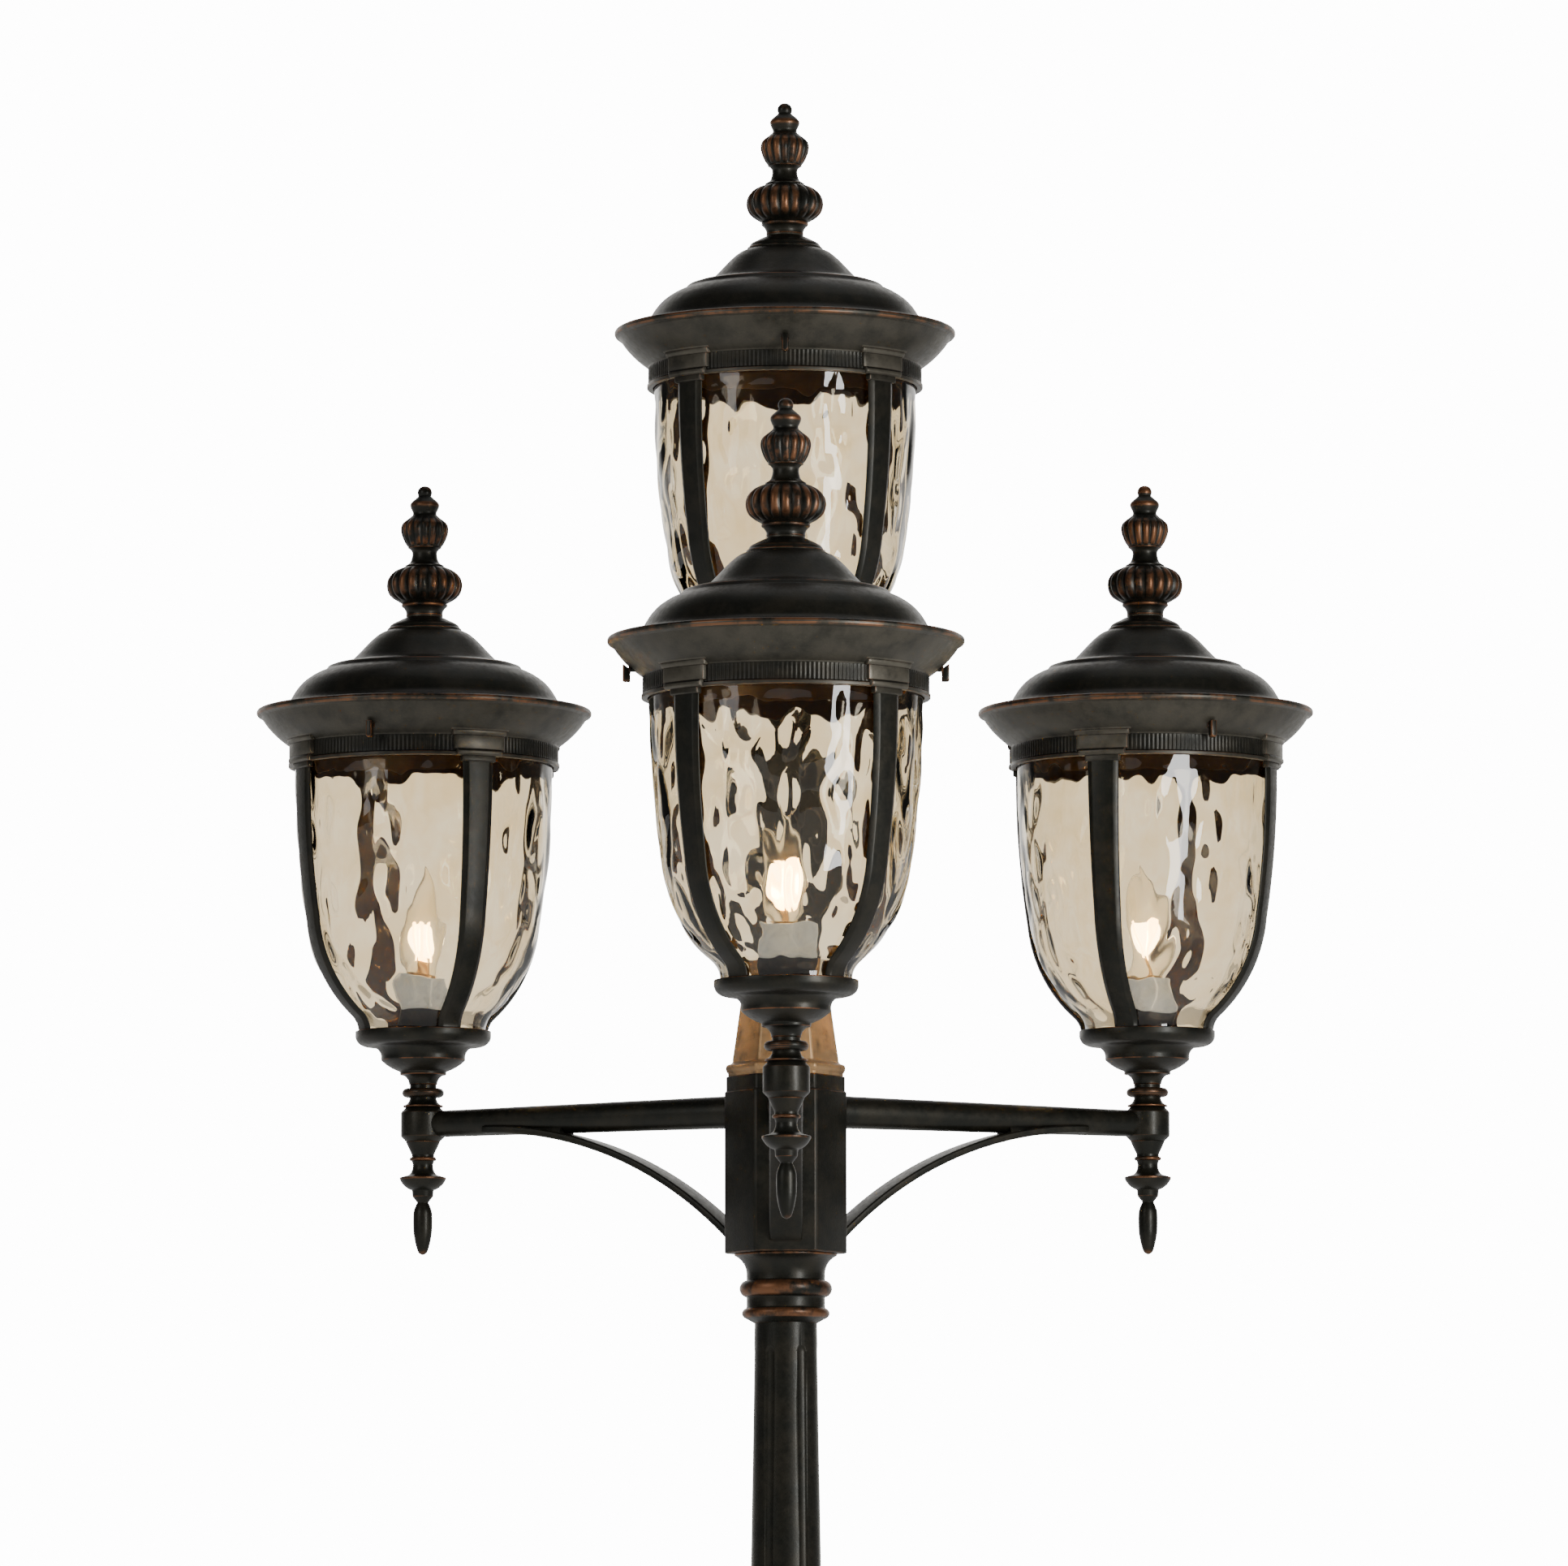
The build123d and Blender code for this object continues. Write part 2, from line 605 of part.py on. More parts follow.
def make_cup(seat: Plane) -> Part:
    """Moulded dish that holds the glass's foot and the ribs' ends."""
    foot = seat.offset(STEM_HEIGHT)
    step_foot = (CUP_STEP_R, 7.2)
    step_top = (CUP_STEP_R + 1.6, 9.7)
    swell = (CUP_WAIST_R - 5.2, 14.0)
    waist_foot = (CUP_WAIST_R, 18.2)
    waist_top = (CUP_WAIST_R, 20.4)
    cove = (CUP_WAIST_R + 7.4, 28.4)
    rim_foot = (CUP_RIM_R - 7.6, 28.8)
    rim = (CUP_RIM_R, 35.6)
    with BuildPart() as cup:
        with BuildSketch(upright(foot)):
            with BuildLine():
                Polyline((0, CUP_HEIGHT), (0, 0), (CUP_FOOT_R, 0))
                TangentArc((CUP_FOOT_R, 0), step_foot, tangent=(0.2, 1))
                Polyline(step_foot, (step_top[0], step_foot[1]), step_top)
                ThreePointArc(step_top, swell, waist_foot)
                Line(waist_foot, waist_top)
                TangentArc(waist_top, cove, tangent=(0, 1))
                Line(cove, rim_foot)
                TangentArc(rim, rim_foot, tangent=(0, -1))
                Polyline(rim, (CUP_RIM_R, CUP_HEIGHT), (0, CUP_HEIGHT))
            make_face()
        revolve(axis=turn_about(seat))
        with BuildSketch(foot.offset(CUP_FLOOR)):
            Circle(GLASS_FOOT_R + GLASS_GAP)
        extrude(amount=CUP_HEIGHT - CUP_FLOOR, mode=Mode.SUBTRACT)
        with BuildSketch(foot):
            Circle(NIPPLE_HOLE_R)
        extrude(amount=CUP_HEIGHT, mode=Mode.SUBTRACT)
    return cup.part


def glass_outline(grow: float) -> None:
    """Closed half outline of the glass, moved outwards by grow."""
    foot = GLASS_FOOT_R + grow
    lip = GLASS_LIP_R + grow
    hip = (GLASS_FOOT_R + 6.9 + grow, GLASS_FOOT + 20.5)
    shoulder = (GLASS_BODY_R + grow, GLASS_FOOT + 90.0)
    Polyline((0, GLASS_LIP), (0, GLASS_FOOT), (foot, GLASS_FOOT), (foot, GLASS_FOOT + 8.0))
    TangentArc((foot, GLASS_FOOT + 8.0), hip, tangent=(0, 1))
    ThreePointArc(hip, (GLASS_BODY_R - 12.9 + grow, GLASS_FOOT + 48.5), shoulder)
    ThreePointArc(shoulder, (lip - 2.0, GLASS_FOOT + 144.0), (lip, GLASS_LIP - 22.0))
    Polyline((lip, GLASS_LIP - 22.0), (lip, GLASS_LIP), (0, GLASS_LIP))


def make_glass(seat: Plane) -> Part:
    """Open glass urn that stands in the cup."""
    with BuildPart() as glass:
        with BuildSketch(upright(seat)):
            with BuildLine():
                glass_outline(0.0)
            make_face()
        revolve(axis=turn_about(seat))
        with BuildSketch(upright(seat)):
            with BuildLine():
                glass_outline(-GLASS_WALL)
            make_face()
        revolve(axis=turn_about(seat), mode=Mode.SUBTRACT)
    return glass.part


def make_straps(seat: Plane, turn: float) -> Part:
    """Two opposite flat straps bent round the glass, narrower at the foot."""
    with BuildPart() as straps:
        with BuildSketch(upright(seat, turn)):
            with BuildLine():
                glass_outline(GLASS_GAP + RIB_THICKNESS)
            make_face()
            with BuildLine():
                glass_outline(GLASS_GAP)
            make_face(mode=Mode.SUBTRACT)
            mirror(about=Plane.YZ)
        extrude(amount=RIB_TOP_WIDTH / 2, both=True)
        with BuildSketch(facing(seat, turn)):
            with BuildLine():
                Polyline(
                    (-RIB_FOOT_WIDTH / 2, CUP_TOP),
                    (RIB_FOOT_WIDTH / 2, CUP_TOP),
                    (RIB_TOP_WIDTH / 2, BAND_FOOT),
                    (-RIB_TOP_WIDTH / 2, BAND_FOOT),
                    close=True,
                )
            make_face()
        extrude(amount=EAVE_R, both=True, mode=Mode.INTERSECT)
    return straps.part


def make_cage(seat: Plane) -> Part:
    """Crown ring with four stepped capitals and four straps round the glass."""
    seam = BAND_TOP - 0.5
    ovolo_mid = ((BAND_R + OVOLO_R) / 2 + 1.2, (BAND_TOP + CAGE_TOP) / 2 - 1.2)
    # Each tier's rise over the band's foot, height, depth over the band, and width
    tiers = (
        (19.0, 6.6, CAPITAL_PROUD, CAPITAL_WIDTH),
        (15.0, 4.0, CAPITAL_PROUD - 1.6, CAPITAL_WIDTH - 4.0),
        (4.6, 10.4, CAPITAL_PROUD - 2.8, CAPITAL_WIDTH - 7.0),
        (0.0, 4.6, CAPITAL_PROUD - 1.8, CAPITAL_WIDTH - 11.0),
        (-4.6, 4.6, CAPITAL_PROUD - 4.4, RIB_TOP_WIDTH + 2.4),
    )
    pairs = [make_straps(seat, turn) for turn in (45, 135)]
    screw_seat = seat.offset(SCREW_HEIGHT)
    with BuildPart() as cage:
        with BuildSketch(upright(seat)):
            with BuildLine():
                Polyline(
                    (BAND_R, seam),
                    (BAND_R, BAND_FOOT + BAND_LIP),
                    (BAND_R + 0.9, BAND_FOOT + BAND_LIP),
                    (BAND_R + 0.9, BAND_FOOT),
                    (BAND_INNER_R, BAND_FOOT),
                    (BAND_INNER_R, seam + 1.8),
                    (OVOLO_R - SEAT_WIDTH, CAGE_TOP),
                    (OVOLO_R, CAGE_TOP),
                )
                ThreePointArc((BAND_R, seam), ovolo_mid, (OVOLO_R, CAGE_TOP))
            make_face()
        revolve(axis=turn_about(seat))
        add(pairs)
        for rise, height, proud, width in tiers:
            with BuildSketch(seat.offset(BAND_FOOT + rise)):
                Rectangle(2 * EAVE_R, width, rotation=45)
                Rectangle(2 * EAVE_R, width, rotation=135)
                Circle(BAND_R + proud, mode=Mode.INTERSECT)
                Circle(BAND_INNER_R, mode=Mode.SUBTRACT)
            extrude(amount=height)
        # Tapped holes for the two thumbscrews
        with BuildSketch(facing(screw_seat, 90), facing(screw_seat, -90)):
            Circle(SCREW_R + RUNNING_FIT)
        extrude(amount=EAVE_R, mode=Mode.SUBTRACT)
    return cage.part


def pulled_in(point: tuple[float, float], side: float, drop: float) -> tuple[float, float]:
    """A section's point moved towards the axis and down."""
    return (point[0] - side, point[1] - drop)


def make_roof(seat: Plane) -> Part:
    """Stepped dome with a rolled eave and an inner skirt for the screws."""
    eave = seat.offset(CAGE_TOP)
    seam_r = OVOLO_R - SEAT_WIDTH
    roll = (EAVE_R, 8.3)
    lip = (EAVE_R - 5.3, 15.6)
    cove = (EAVE_R - 20.3, 19.4)
    swell = (EAVE_R - 29.8, 26.0)
    brow = (EAVE_R - 38.3, 34.0)
    step_foot = (STEP_R + 4.0, 40.1)
    step_top = (STEP_R, 44.3)
    ledge = (LEDGE_R, 46.6)
    ogee_foot = (LEDGE_R - 10.0, 56.2)
    ogee = (LEDGE_R - 17.0, 63.8)
    ogee_top = (BUTTON_R + 2.5, 70.8)
    button_foot = (BUTTON_R, 72.8)
    button = (BUTTON_R, 74.4)
    crown = (BUTTON_R - 4.5, 78.2)
    neck_foot = (ROOF_NECK_R + 1.2, DOME_HEIGHT - 2.0)
    # The inside follows a wall's thickness in, square to the slanting faces
    slant = ROOF_WALL / sqrt(2)
    inner_lip = (seam_r, lip[1] - ROOF_WALL)
    inner_cove = pulled_in(cove, slant / 2, ROOF_WALL)
    inner_swell = pulled_in(swell, slant, slant)
    inner_brow = pulled_in(brow, slant, slant)
    inner_step_foot = pulled_in(step_foot, slant, ROOF_WALL)
    inner_step_top = pulled_in(step_top, slant, ROOF_WALL)
    inner_ledge = pulled_in(ledge, ROOF_WALL / 2, ROOF_WALL)
    inner_ogee_foot = pulled_in(ogee_foot, slant, slant)
    inner_ogee = pulled_in(ogee, slant, slant)
    inner_button = (BUTTON_R - ROOF_WALL, ogee_top[1] - ROOF_WALL)
    skirt_top = swell[1] + 0.6
    with BuildPart() as roof:
        with BuildSketch(upright(eave)):
            with BuildLine():
                Line((seam_r, 0), (OVOLO_R, 0))
                ThreePointArc((OVOLO_R, 0), roll, lip)
                ThreePointArc(lip, cove, swell)
                ThreePointArc(swell, brow, step_foot)
                Polyline(step_foot, step_top, ledge, ogee_foot)
                ThreePointArc(ogee_foot, ogee, ogee_top)
                Polyline(ogee_top, button_foot, button)
                ThreePointArc(button, crown, neck_foot)
                Polyline(
                    neck_foot,
                    (ROOF_NECK_R, neck_foot[1]),
                    (ROOF_NECK_R, DOME_HEIGHT),
                    (0, DOME_HEIGHT),
                    (0, button[1] - ROOF_WALL),
                    inner_button,
                )
                ThreePointArc(inner_button, inner_ogee, inner_ogee_foot)
                Polyline(inner_ogee_foot, inner_ledge, inner_step_top, inner_step_foot)
                ThreePointArc(inner_step_foot, inner_brow, inner_swell)
                ThreePointArc(inner_swell, inner_cove, inner_lip)
                Line(inner_lip, (seam_r, 0))
            make_face()
        revolve(axis=turn_about(seat))
        with BuildSketch(eave.offset(-SKIRT_DEPTH)):
            Circle(SKIRT_R)
            Circle(SKIRT_R - SKIRT_WALL, mode=Mode.SUBTRACT)
        extrude(amount=SKIRT_DEPTH + skirt_top)
        with BuildSketch(eave.offset(DOME_HEIGHT)):
            Circle(STUD_R + RUNNING_FIT)
        extrude(amount=-(STUD_LENGTH + LIFT_GAP), mode=Mode.SUBTRACT)
    return roof.part


def make_valley(
    low: tuple[float, float], belly: tuple[float, float], high: tuple[float, float], depth: float
) -> Part:
    """Cutter for one valley between two lobes: a V that dips in at the belly."""
    side = upright(GROUND)
    bottom = (belly[0] - depth, belly[1])
    opening = 1.6 * depth
    with BuildPart() as valley:
        with BuildLine(side) as path:
            run = ThreePointArc(low, bottom, high)
        with BuildSketch(Plane(origin=run @ 0, x_dir=side.z_dir, z_dir=run % 0)):
            with BuildLine():
                Polyline((0, 0), (opening, opening), (-opening, opening), close=True)
            make_face()
        sweep(path=path.line)
    return valley.part


def make_finial(seat: Plane) -> Part:
    """Turned finial with two lobed bulbs, a knop and a ball, and its stud."""
    foot = seat.offset(ROOF_TOP)
    foot_ring_r = ROOF_NECK_R + 3.4
    foot_ring = (foot_ring_r, 6.4)
    lower_foot = (foot_ring_r, 8.6)
    lower_belly = (FINIAL_LOWER_R, 22.0)
    lower_top = (15.0, 36.0)
    shoulder = (12.0, 38.4)
    neck_foot = (FINIAL_NECK_R, 43.0)
    neck_top = (FINIAL_NECK_R, 46.6)
    upper_foot = (12.6, 52.0)
    upper_belly = (FINIAL_UPPER_R, 63.6)
    upper_top = (12.2, 72.8)
    knop_foot = (9.0, 77.6)
    knop = (FINIAL_KNOP_R, 82.6)
    knop_top = (6.6, 87.6)
    ball_z = FINIAL_HEIGHT - FINIAL_BALL_R
    ball_foot = (FINIAL_BALL_R * cos(radians(30)), ball_z - FINIAL_BALL_R * sin(radians(30)))
    valleys = (
        (FINIAL_LOWER_LOBES, make_valley(lower_foot, lower_belly, lower_top, FINIAL_LOWER_VALLEY)),
        (FINIAL_UPPER_LOBES, make_valley(upper_foot, upper_belly, upper_top, FINIAL_UPPER_VALLEY)),
    )
    with BuildPart() as finial:
        with BuildSketch(upright(foot)):
            with BuildLine():
                Polyline(
                    (0, FINIAL_HEIGHT),
                    (0, -STUD_LENGTH),
                    (STUD_R, -STUD_LENGTH),
                    (STUD_R, 0),
                    (ROOF_NECK_R, 0),
                )
                TangentArc((ROOF_NECK_R, 0), foot_ring, tangent=(0, 1))
                Line(foot_ring, lower_foot)
                ThreePointArc(lower_foot, lower_belly, lower_top)
                Polyline(lower_top, shoulder, neck_foot, neck_top)
                TangentArc(neck_top, upper_foot, tangent=(0, 1))
                ThreePointArc(upper_foot, upper_belly, upper_top)
                Polyline(upper_top, (knop_foot[0], 75.0), knop_foot)
                ThreePointArc(knop_foot, knop, knop_top)
                Line(knop_top, ball_foot)
                ThreePointArc(ball_foot, (FINIAL_BALL_R, ball_z), (0, FINIAL_HEIGHT))
            make_face()
        revolve(axis=turn_about(seat))
        for count, valley in valleys:
            with Locations(foot.location):
                with PolarLocations(0, count):
                    add(valley, mode=Mode.SUBTRACT)
    return finial.part


def make_thumbscrew(seat: Plane, turn: float) -> Part:
    """Screw through the cage with a thumb tab hanging below the eave."""
    side = upright(seat.offset(SCREW_HEIGHT), turn)
    tip_r = SKIRT_R + LIFT_GAP
    with BuildPart() as screw:
        with BuildSketch(Plane(origin=side.from_local_coords(Vector(tip_r, 0, 0)), z_dir=side.x_dir)):
            Circle(SCREW_R)
        extrude(amount=TAB_OUTER_R - 2.0 - tip_r)
        with BuildSketch(side):
            with BuildLine():
                Polyline(
                    (TAB_INNER_R, 0.2),
                    (TAB_OUTER_R, 3.8),
                    (TAB_OUTER_R, 0),
                    (TAB_OUTER_R - 1.2, -TAB_LENGTH),
                    (TAB_INNER_R + 0.4, -TAB_LENGTH),
                    (TAB_INNER_R, 0.2),
                )
            make_face()
        extrude(amount=TAB_WIDTH / 2, both=True)
        fillet(screw.edges().group_by(Axis.Z)[0], 1.2)
    return screw.part


def make_husk(seat: Plane) -> Part:
    """Dark metal husk that carries the porcelain socket on the nipple."""
    foot = seat.offset(GLASS_FOOT)
    with BuildPart() as husk:
        with BuildSketch(upright(foot)):
            with BuildLine():
                Polyline((0, HUSK_HEIGHT), (0, 0), (HUSK_R - 5.0, 0), (HUSK_R - 5.0, 3.0))
                TangentArc((HUSK_R, HUSK_HEIGHT - 5.0), (HUSK_R - 5.0, 3.0), tangent=(0, -1))
                Polyline((HUSK_R, HUSK_HEIGHT - 5.0), (HUSK_R, HUSK_HEIGHT), (0, HUSK_HEIGHT))
            make_face()
        revolve(axis=turn_about(seat))
        with BuildSketch(foot):
            Circle(NIPPLE_HOLE_R)
        extrude(amount=HUSK_HEIGHT, mode=Mode.SUBTRACT)
    return husk.part


def make_socket(seat: Plane) -> Part:
    """Porcelain lampholder, bored for the bulb's screw cap."""
    foot = seat.offset(HUSK_TOP)
    with BuildPart() as socket:
        with BuildSketch(foot):
            Circle(SOCKET_R)
        extrude(amount=SOCKET_HEIGHT)
        chamfer(socket.edges().group_by(Axis.Z)[-1], 1.5)
        with BuildSketch(seat.offset(SOCKET_TOP)):
            Circle(CAP_R + RUNNING_FIT)
        extrude(amount=-SOCKET_DEPTH, mode=Mode.SUBTRACT)
    return socket.part


def make_bulb_cap(seat: Plane) -> Part:
    """Screw shell of the bulb with its centre contact and inner stem."""
    foot = seat.offset(CAP_FOOT)
    with BuildPart() as cap:
        with BuildSketch(upright(foot)):
            with BuildLine():
                Polyline(
                    (0, 0),
                    (CONTACT_R, 0),
                    (CONTACT_R, 1.2),
                    (CAP_R - 2.0, 5.0),
                    (CAP_R, 6.5),
                    (CAP_R, CAP_HEIGHT),
                    (BULB_STEM_R + 1.5, CAP_HEIGHT),
                    (BULB_STEM_R, CAP_HEIGHT + 4.0),
                    (BULB_STEM_R, CAP_HEIGHT + BULB_STEM_HEIGHT),
                    (0, CAP_HEIGHT + BULB_STEM_HEIGHT),
                    close=True,
                )
            make_face()
        revolve(axis=turn_about(seat))
    return cap.part


def bulb_outline(inset: float) -> None:
    """Closed half outline of the flame-tipped envelope, drawn in by inset."""
    neck = (CAP_R - 0.8 - inset, 0)
    belly = (BULB_R - inset, BULB_BELLY_RISE)
    shoulder = (BULB_SHOULDER_R - inset / 2, BULB_HEIGHT - BULB_SHOULDER_DROP - inset)
    tip = (0, BULB_HEIGHT - 2 * inset)
    Polyline(tip, (0, 0), neck)
    TangentArc(belly, neck, tangent=(0, -1))
    TangentArc(belly, shoulder, tangent=(0, 1))
    Line(shoulder, tip)


def make_bulb(seat: Plane) -> Part:
    """Thin clear envelope of the flame-tipped bulb."""
    foot = seat.offset(CAP_TOP)
    with BuildPart() as bulb:
        with BuildSketch(upright(foot)):
            with BuildLine():
                bulb_outline(0.0)
            make_face()
        revolve(axis=turn_about(seat))
        with BuildSketch(upright(foot)):
            with BuildLine():
                bulb_outline(BULB_WALL)
            make_face()
        revolve(axis=turn_about(seat), mode=Mode.SUBTRACT)
    return bulb.part


def write(part: Part, name: str) -> None:
    """Label a finished piece and write its file."""
    part.label = name
    export_step(part, f"parts/{name}.step")


os.makedirs("parts", exist_ok=True)

write(make_base(), "base")
write(make_post(), "post")
write(make_collar(), "neck_collar")
write(make_hub(), "hub")
write(make_riser(), "riser")
write(make_nipples(), "nipples")

for name, azimuth in ARM_AZIMUTHS.items():
    write(make_arm(azimuth), f"{name}_arm")
    write(make_pendant(lantern_seat(name).offset(-BOSS_HEIGHT)), f"{name}_pendant")

for name in LANTERN_YAWS:
    seat = lantern_seat(name)
    write(make_stem(seat), f"{name}_stem")
    write(make_cup(seat), f"{name}_cup")
    write(make_glass(seat), f"{name}_glass")
    write(make_cage(seat), f"{name}_cage")
    write(make_husk(seat), f"{name}_husk")
    write(make_socket(seat), f"{name}_socket")
    write(make_bulb_cap(seat), f"{name}_bulb_cap")
    write(make_bulb(seat), f"{name}_bulb")
    write(make_roof(seat), f"{name}_roof")
    write(make_finial(seat), f"{name}_finial")
    write(make_thumbscrew(seat, 90), f"{name}_thumbscrew_a")
    write(make_thumbscrew(seat, -90), f"{name}_thumbscrew_b")
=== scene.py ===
"""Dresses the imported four-head lamp post: castings, glass, bulbs and studio."""
import logging
import math
from dataclasses import dataclass
from enum import Enum
from typing import Iterable, Sequence

import bmesh
import bpy
import numpy as np
from mathutils import Matrix, Vector


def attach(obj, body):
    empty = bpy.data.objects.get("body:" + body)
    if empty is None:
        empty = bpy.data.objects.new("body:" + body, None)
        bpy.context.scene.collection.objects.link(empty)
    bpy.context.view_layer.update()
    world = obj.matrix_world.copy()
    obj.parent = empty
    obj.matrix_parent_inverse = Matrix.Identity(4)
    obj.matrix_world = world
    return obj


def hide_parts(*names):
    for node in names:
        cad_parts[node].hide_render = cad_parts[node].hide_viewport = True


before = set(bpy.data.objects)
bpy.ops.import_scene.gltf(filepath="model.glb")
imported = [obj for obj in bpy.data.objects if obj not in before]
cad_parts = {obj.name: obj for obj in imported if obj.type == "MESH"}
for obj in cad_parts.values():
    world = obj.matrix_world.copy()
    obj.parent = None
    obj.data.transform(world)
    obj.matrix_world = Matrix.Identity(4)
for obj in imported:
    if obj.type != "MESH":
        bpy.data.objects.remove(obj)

LOG = logging.getLogger("lamp_post")
MM = 0.001  # one millimetre, in metres
TINY = 1e-6  # a length that is as good as none
LEAST_BEND = 0.32  # bends below this aren't rubbed
AZIMUTHS = {"front": -90.0, "right": 30.0, "left": 150.0}  # of the arms
YAWS = {"top": 0.0, "front": 90.0, "right": 24.0, "left": -19.0}  # of the lanterns
Point = tuple[float, float]
Colour = tuple[float, float, float]


def linked(name: str, data: bpy.types.ID) -> bpy.types.Object:
    """Makes an object from its data and puts it in the scene."""
    made = bpy.data.objects.new(name, data)
    bpy.context.scene.collection.objects.link(made)
    return made


class Slot(Enum):
    """Material slots of the record."""

    BRONZE = "bronze"
    AMBER_GLASS = "amber_glass"
    CLEAR_GLASS = "clear_glass"
    PORCELAIN = "porcelain"
    CAP_METAL = "cap_metal"
    PLATED_STEEL = "plated_steel"


class Body(Enum):
    """Kinds of CAD body that a lantern's pieces ride on."""

    POST = "lamp_post"
    ROOF = "{}_roof_set"
    SCREW_A = "{}_screw_a"
    SCREW_B = "{}_screw_b"
    BULB = "{}_bulb_set"

    def of(self, lantern: str) -> str:
        """The body's name for one lantern."""
        return self.value.format(lantern)


class Outline:
    """Half section of a turned piece: radius and height in millimetres."""

    def __init__(self, radius: float, height: float) -> None:
        """Starts the section at one point."""
        self.points: list[Point] = [(radius, height)]

    def line(self, *points: Point) -> "Outline":
        """Adds straight runs to each point in turn."""
        self.points.extend(points)
        return self

    def arc(self, via: Point, end: Point, steps: int = 10) -> "Outline":
        """Adds a circular arc.

        Args:
            via: a point on the arc.
            end: where the arc ends.
            steps: how many chords it gets.

        Returns:
            The outline, so that calls can be chained.
        """
        (ax, ay), (bx, by), (cx, cy) = self.points[-1], via, end
        turn = 2 * (ax * (by - cy) + bx * (cy - ay) + cx * (ay - by))
        if abs(turn) < 1e-9:
            return self.line(via, end)
        a2, b2, c2 = ax * ax + ay * ay, bx * bx + by * by, cx * cx + cy * cy
        ux = (a2 * (by - cy) + b2 * (cy - ay) + c2 * (ay - by)) / turn
        uy = (a2 * (cx - bx) + b2 * (ax - cx) + c2 * (bx - ax)) / turn
        radius = math.hypot(ax - ux, ay - uy)
        first = math.atan2(ay - uy, ax - ux)
        middle = (math.atan2(by - uy, bx - ux) - first) % math.tau
        last = (math.atan2(cy - uy, cx - ux) - first) % math.tau
        sweep = last if middle < last else last - math.tau
        for step in range(1, steps + 1):
            angle = first + sweep * step / steps
            self.points.append((ux + radius * math.cos(angle), uy + radius * math.sin(angle)))
        return self

    def flow(self, *points: Point, steps: int = 5) -> "Outline":
        """Adds a smooth curve through the points, from the last one on.

        Args:
            points: places that the curve passes.
            steps: chords between two of them.

        Returns:
            The outline, so that calls can be chained.
        """
        knots = [self.points[-1], *points]
        ghosts = [knots[0], *knots, knots[-1]]
        for index in range(len(knots) - 1):
            a, b, c, d = (np.array(ghosts[index + shift]) for shift in range(4))
            bend, twist = 2 * a - 5 * b + 4 * c - d, 3 * b - a - 3 * c + d
            for step in range(1, steps + 1):
                t = step / steps
                spot = 0.5 * (2 * b + (c - a) * t + bend * t**2 + twist * t**3)
                self.points.append((max(0.0, float(spot[0])), float(spot[1])))
        return self

    def raised(self, rise: float) -> "Outline":
        """Moves the whole section up."""
        self.points = [(radius, height + rise) for radius, height in self.points]
        return self

    def softened(
        self, radius: float, least_turn: float = 24.0, sharp: Sequence[Point] = ()
    ) -> "Outline":
        """Rounds every sharp corner.

        Args:
            radius: how far from the corner the rounding starts.
            least_turn: corners that turn by fewer degrees stay.
            sharp: corners that stay as they are, such as a seam's.

        Returns:
            A new outline.
        """
        old = self.points
        new = Outline(*old[0])
        for before, corner, after in zip(old, old[1:], old[2:]):
            a, b, c = Vector(before), Vector(corner), Vector(after)
            into, out = b - a, c - b
            kept = any(math.dist(corner, point) < 0.01 for point in sharp)
            kept = kept or min(into.length, out.length) < TINY
            if kept or math.degrees(into.angle(out)) < least_turn:
                new.points.append(corner)
                continue
            start = b - into.normalized() * min(radius, into.length * 0.45)
            stop = b + out.normalized() * min(radius, out.length * 0.45)
            for t in (0.0, 0.33, 0.67, 1.0):
                spot = start * (1 - t) ** 2 + b * 2 * t * (1 - t) + stop * t**2
                new.points.append((spot.x, spot.y))
        new.points.append(old[-1])
        return new


@dataclass(frozen=True)
class Seat:
    """Where a piece stands: a point in metres and a turn in degrees."""

    x: float
    y: float
    z: float
    yaw: float = 0.0

    def matrix(self) -> Matrix:
        """Turn and move from the piece's own frame to the lamp post's."""
        turn = Matrix.Rotation(math.radians(self.yaw), 4, "Z")
        return Matrix.Translation((self.x, self.y, self.z)) @ turn


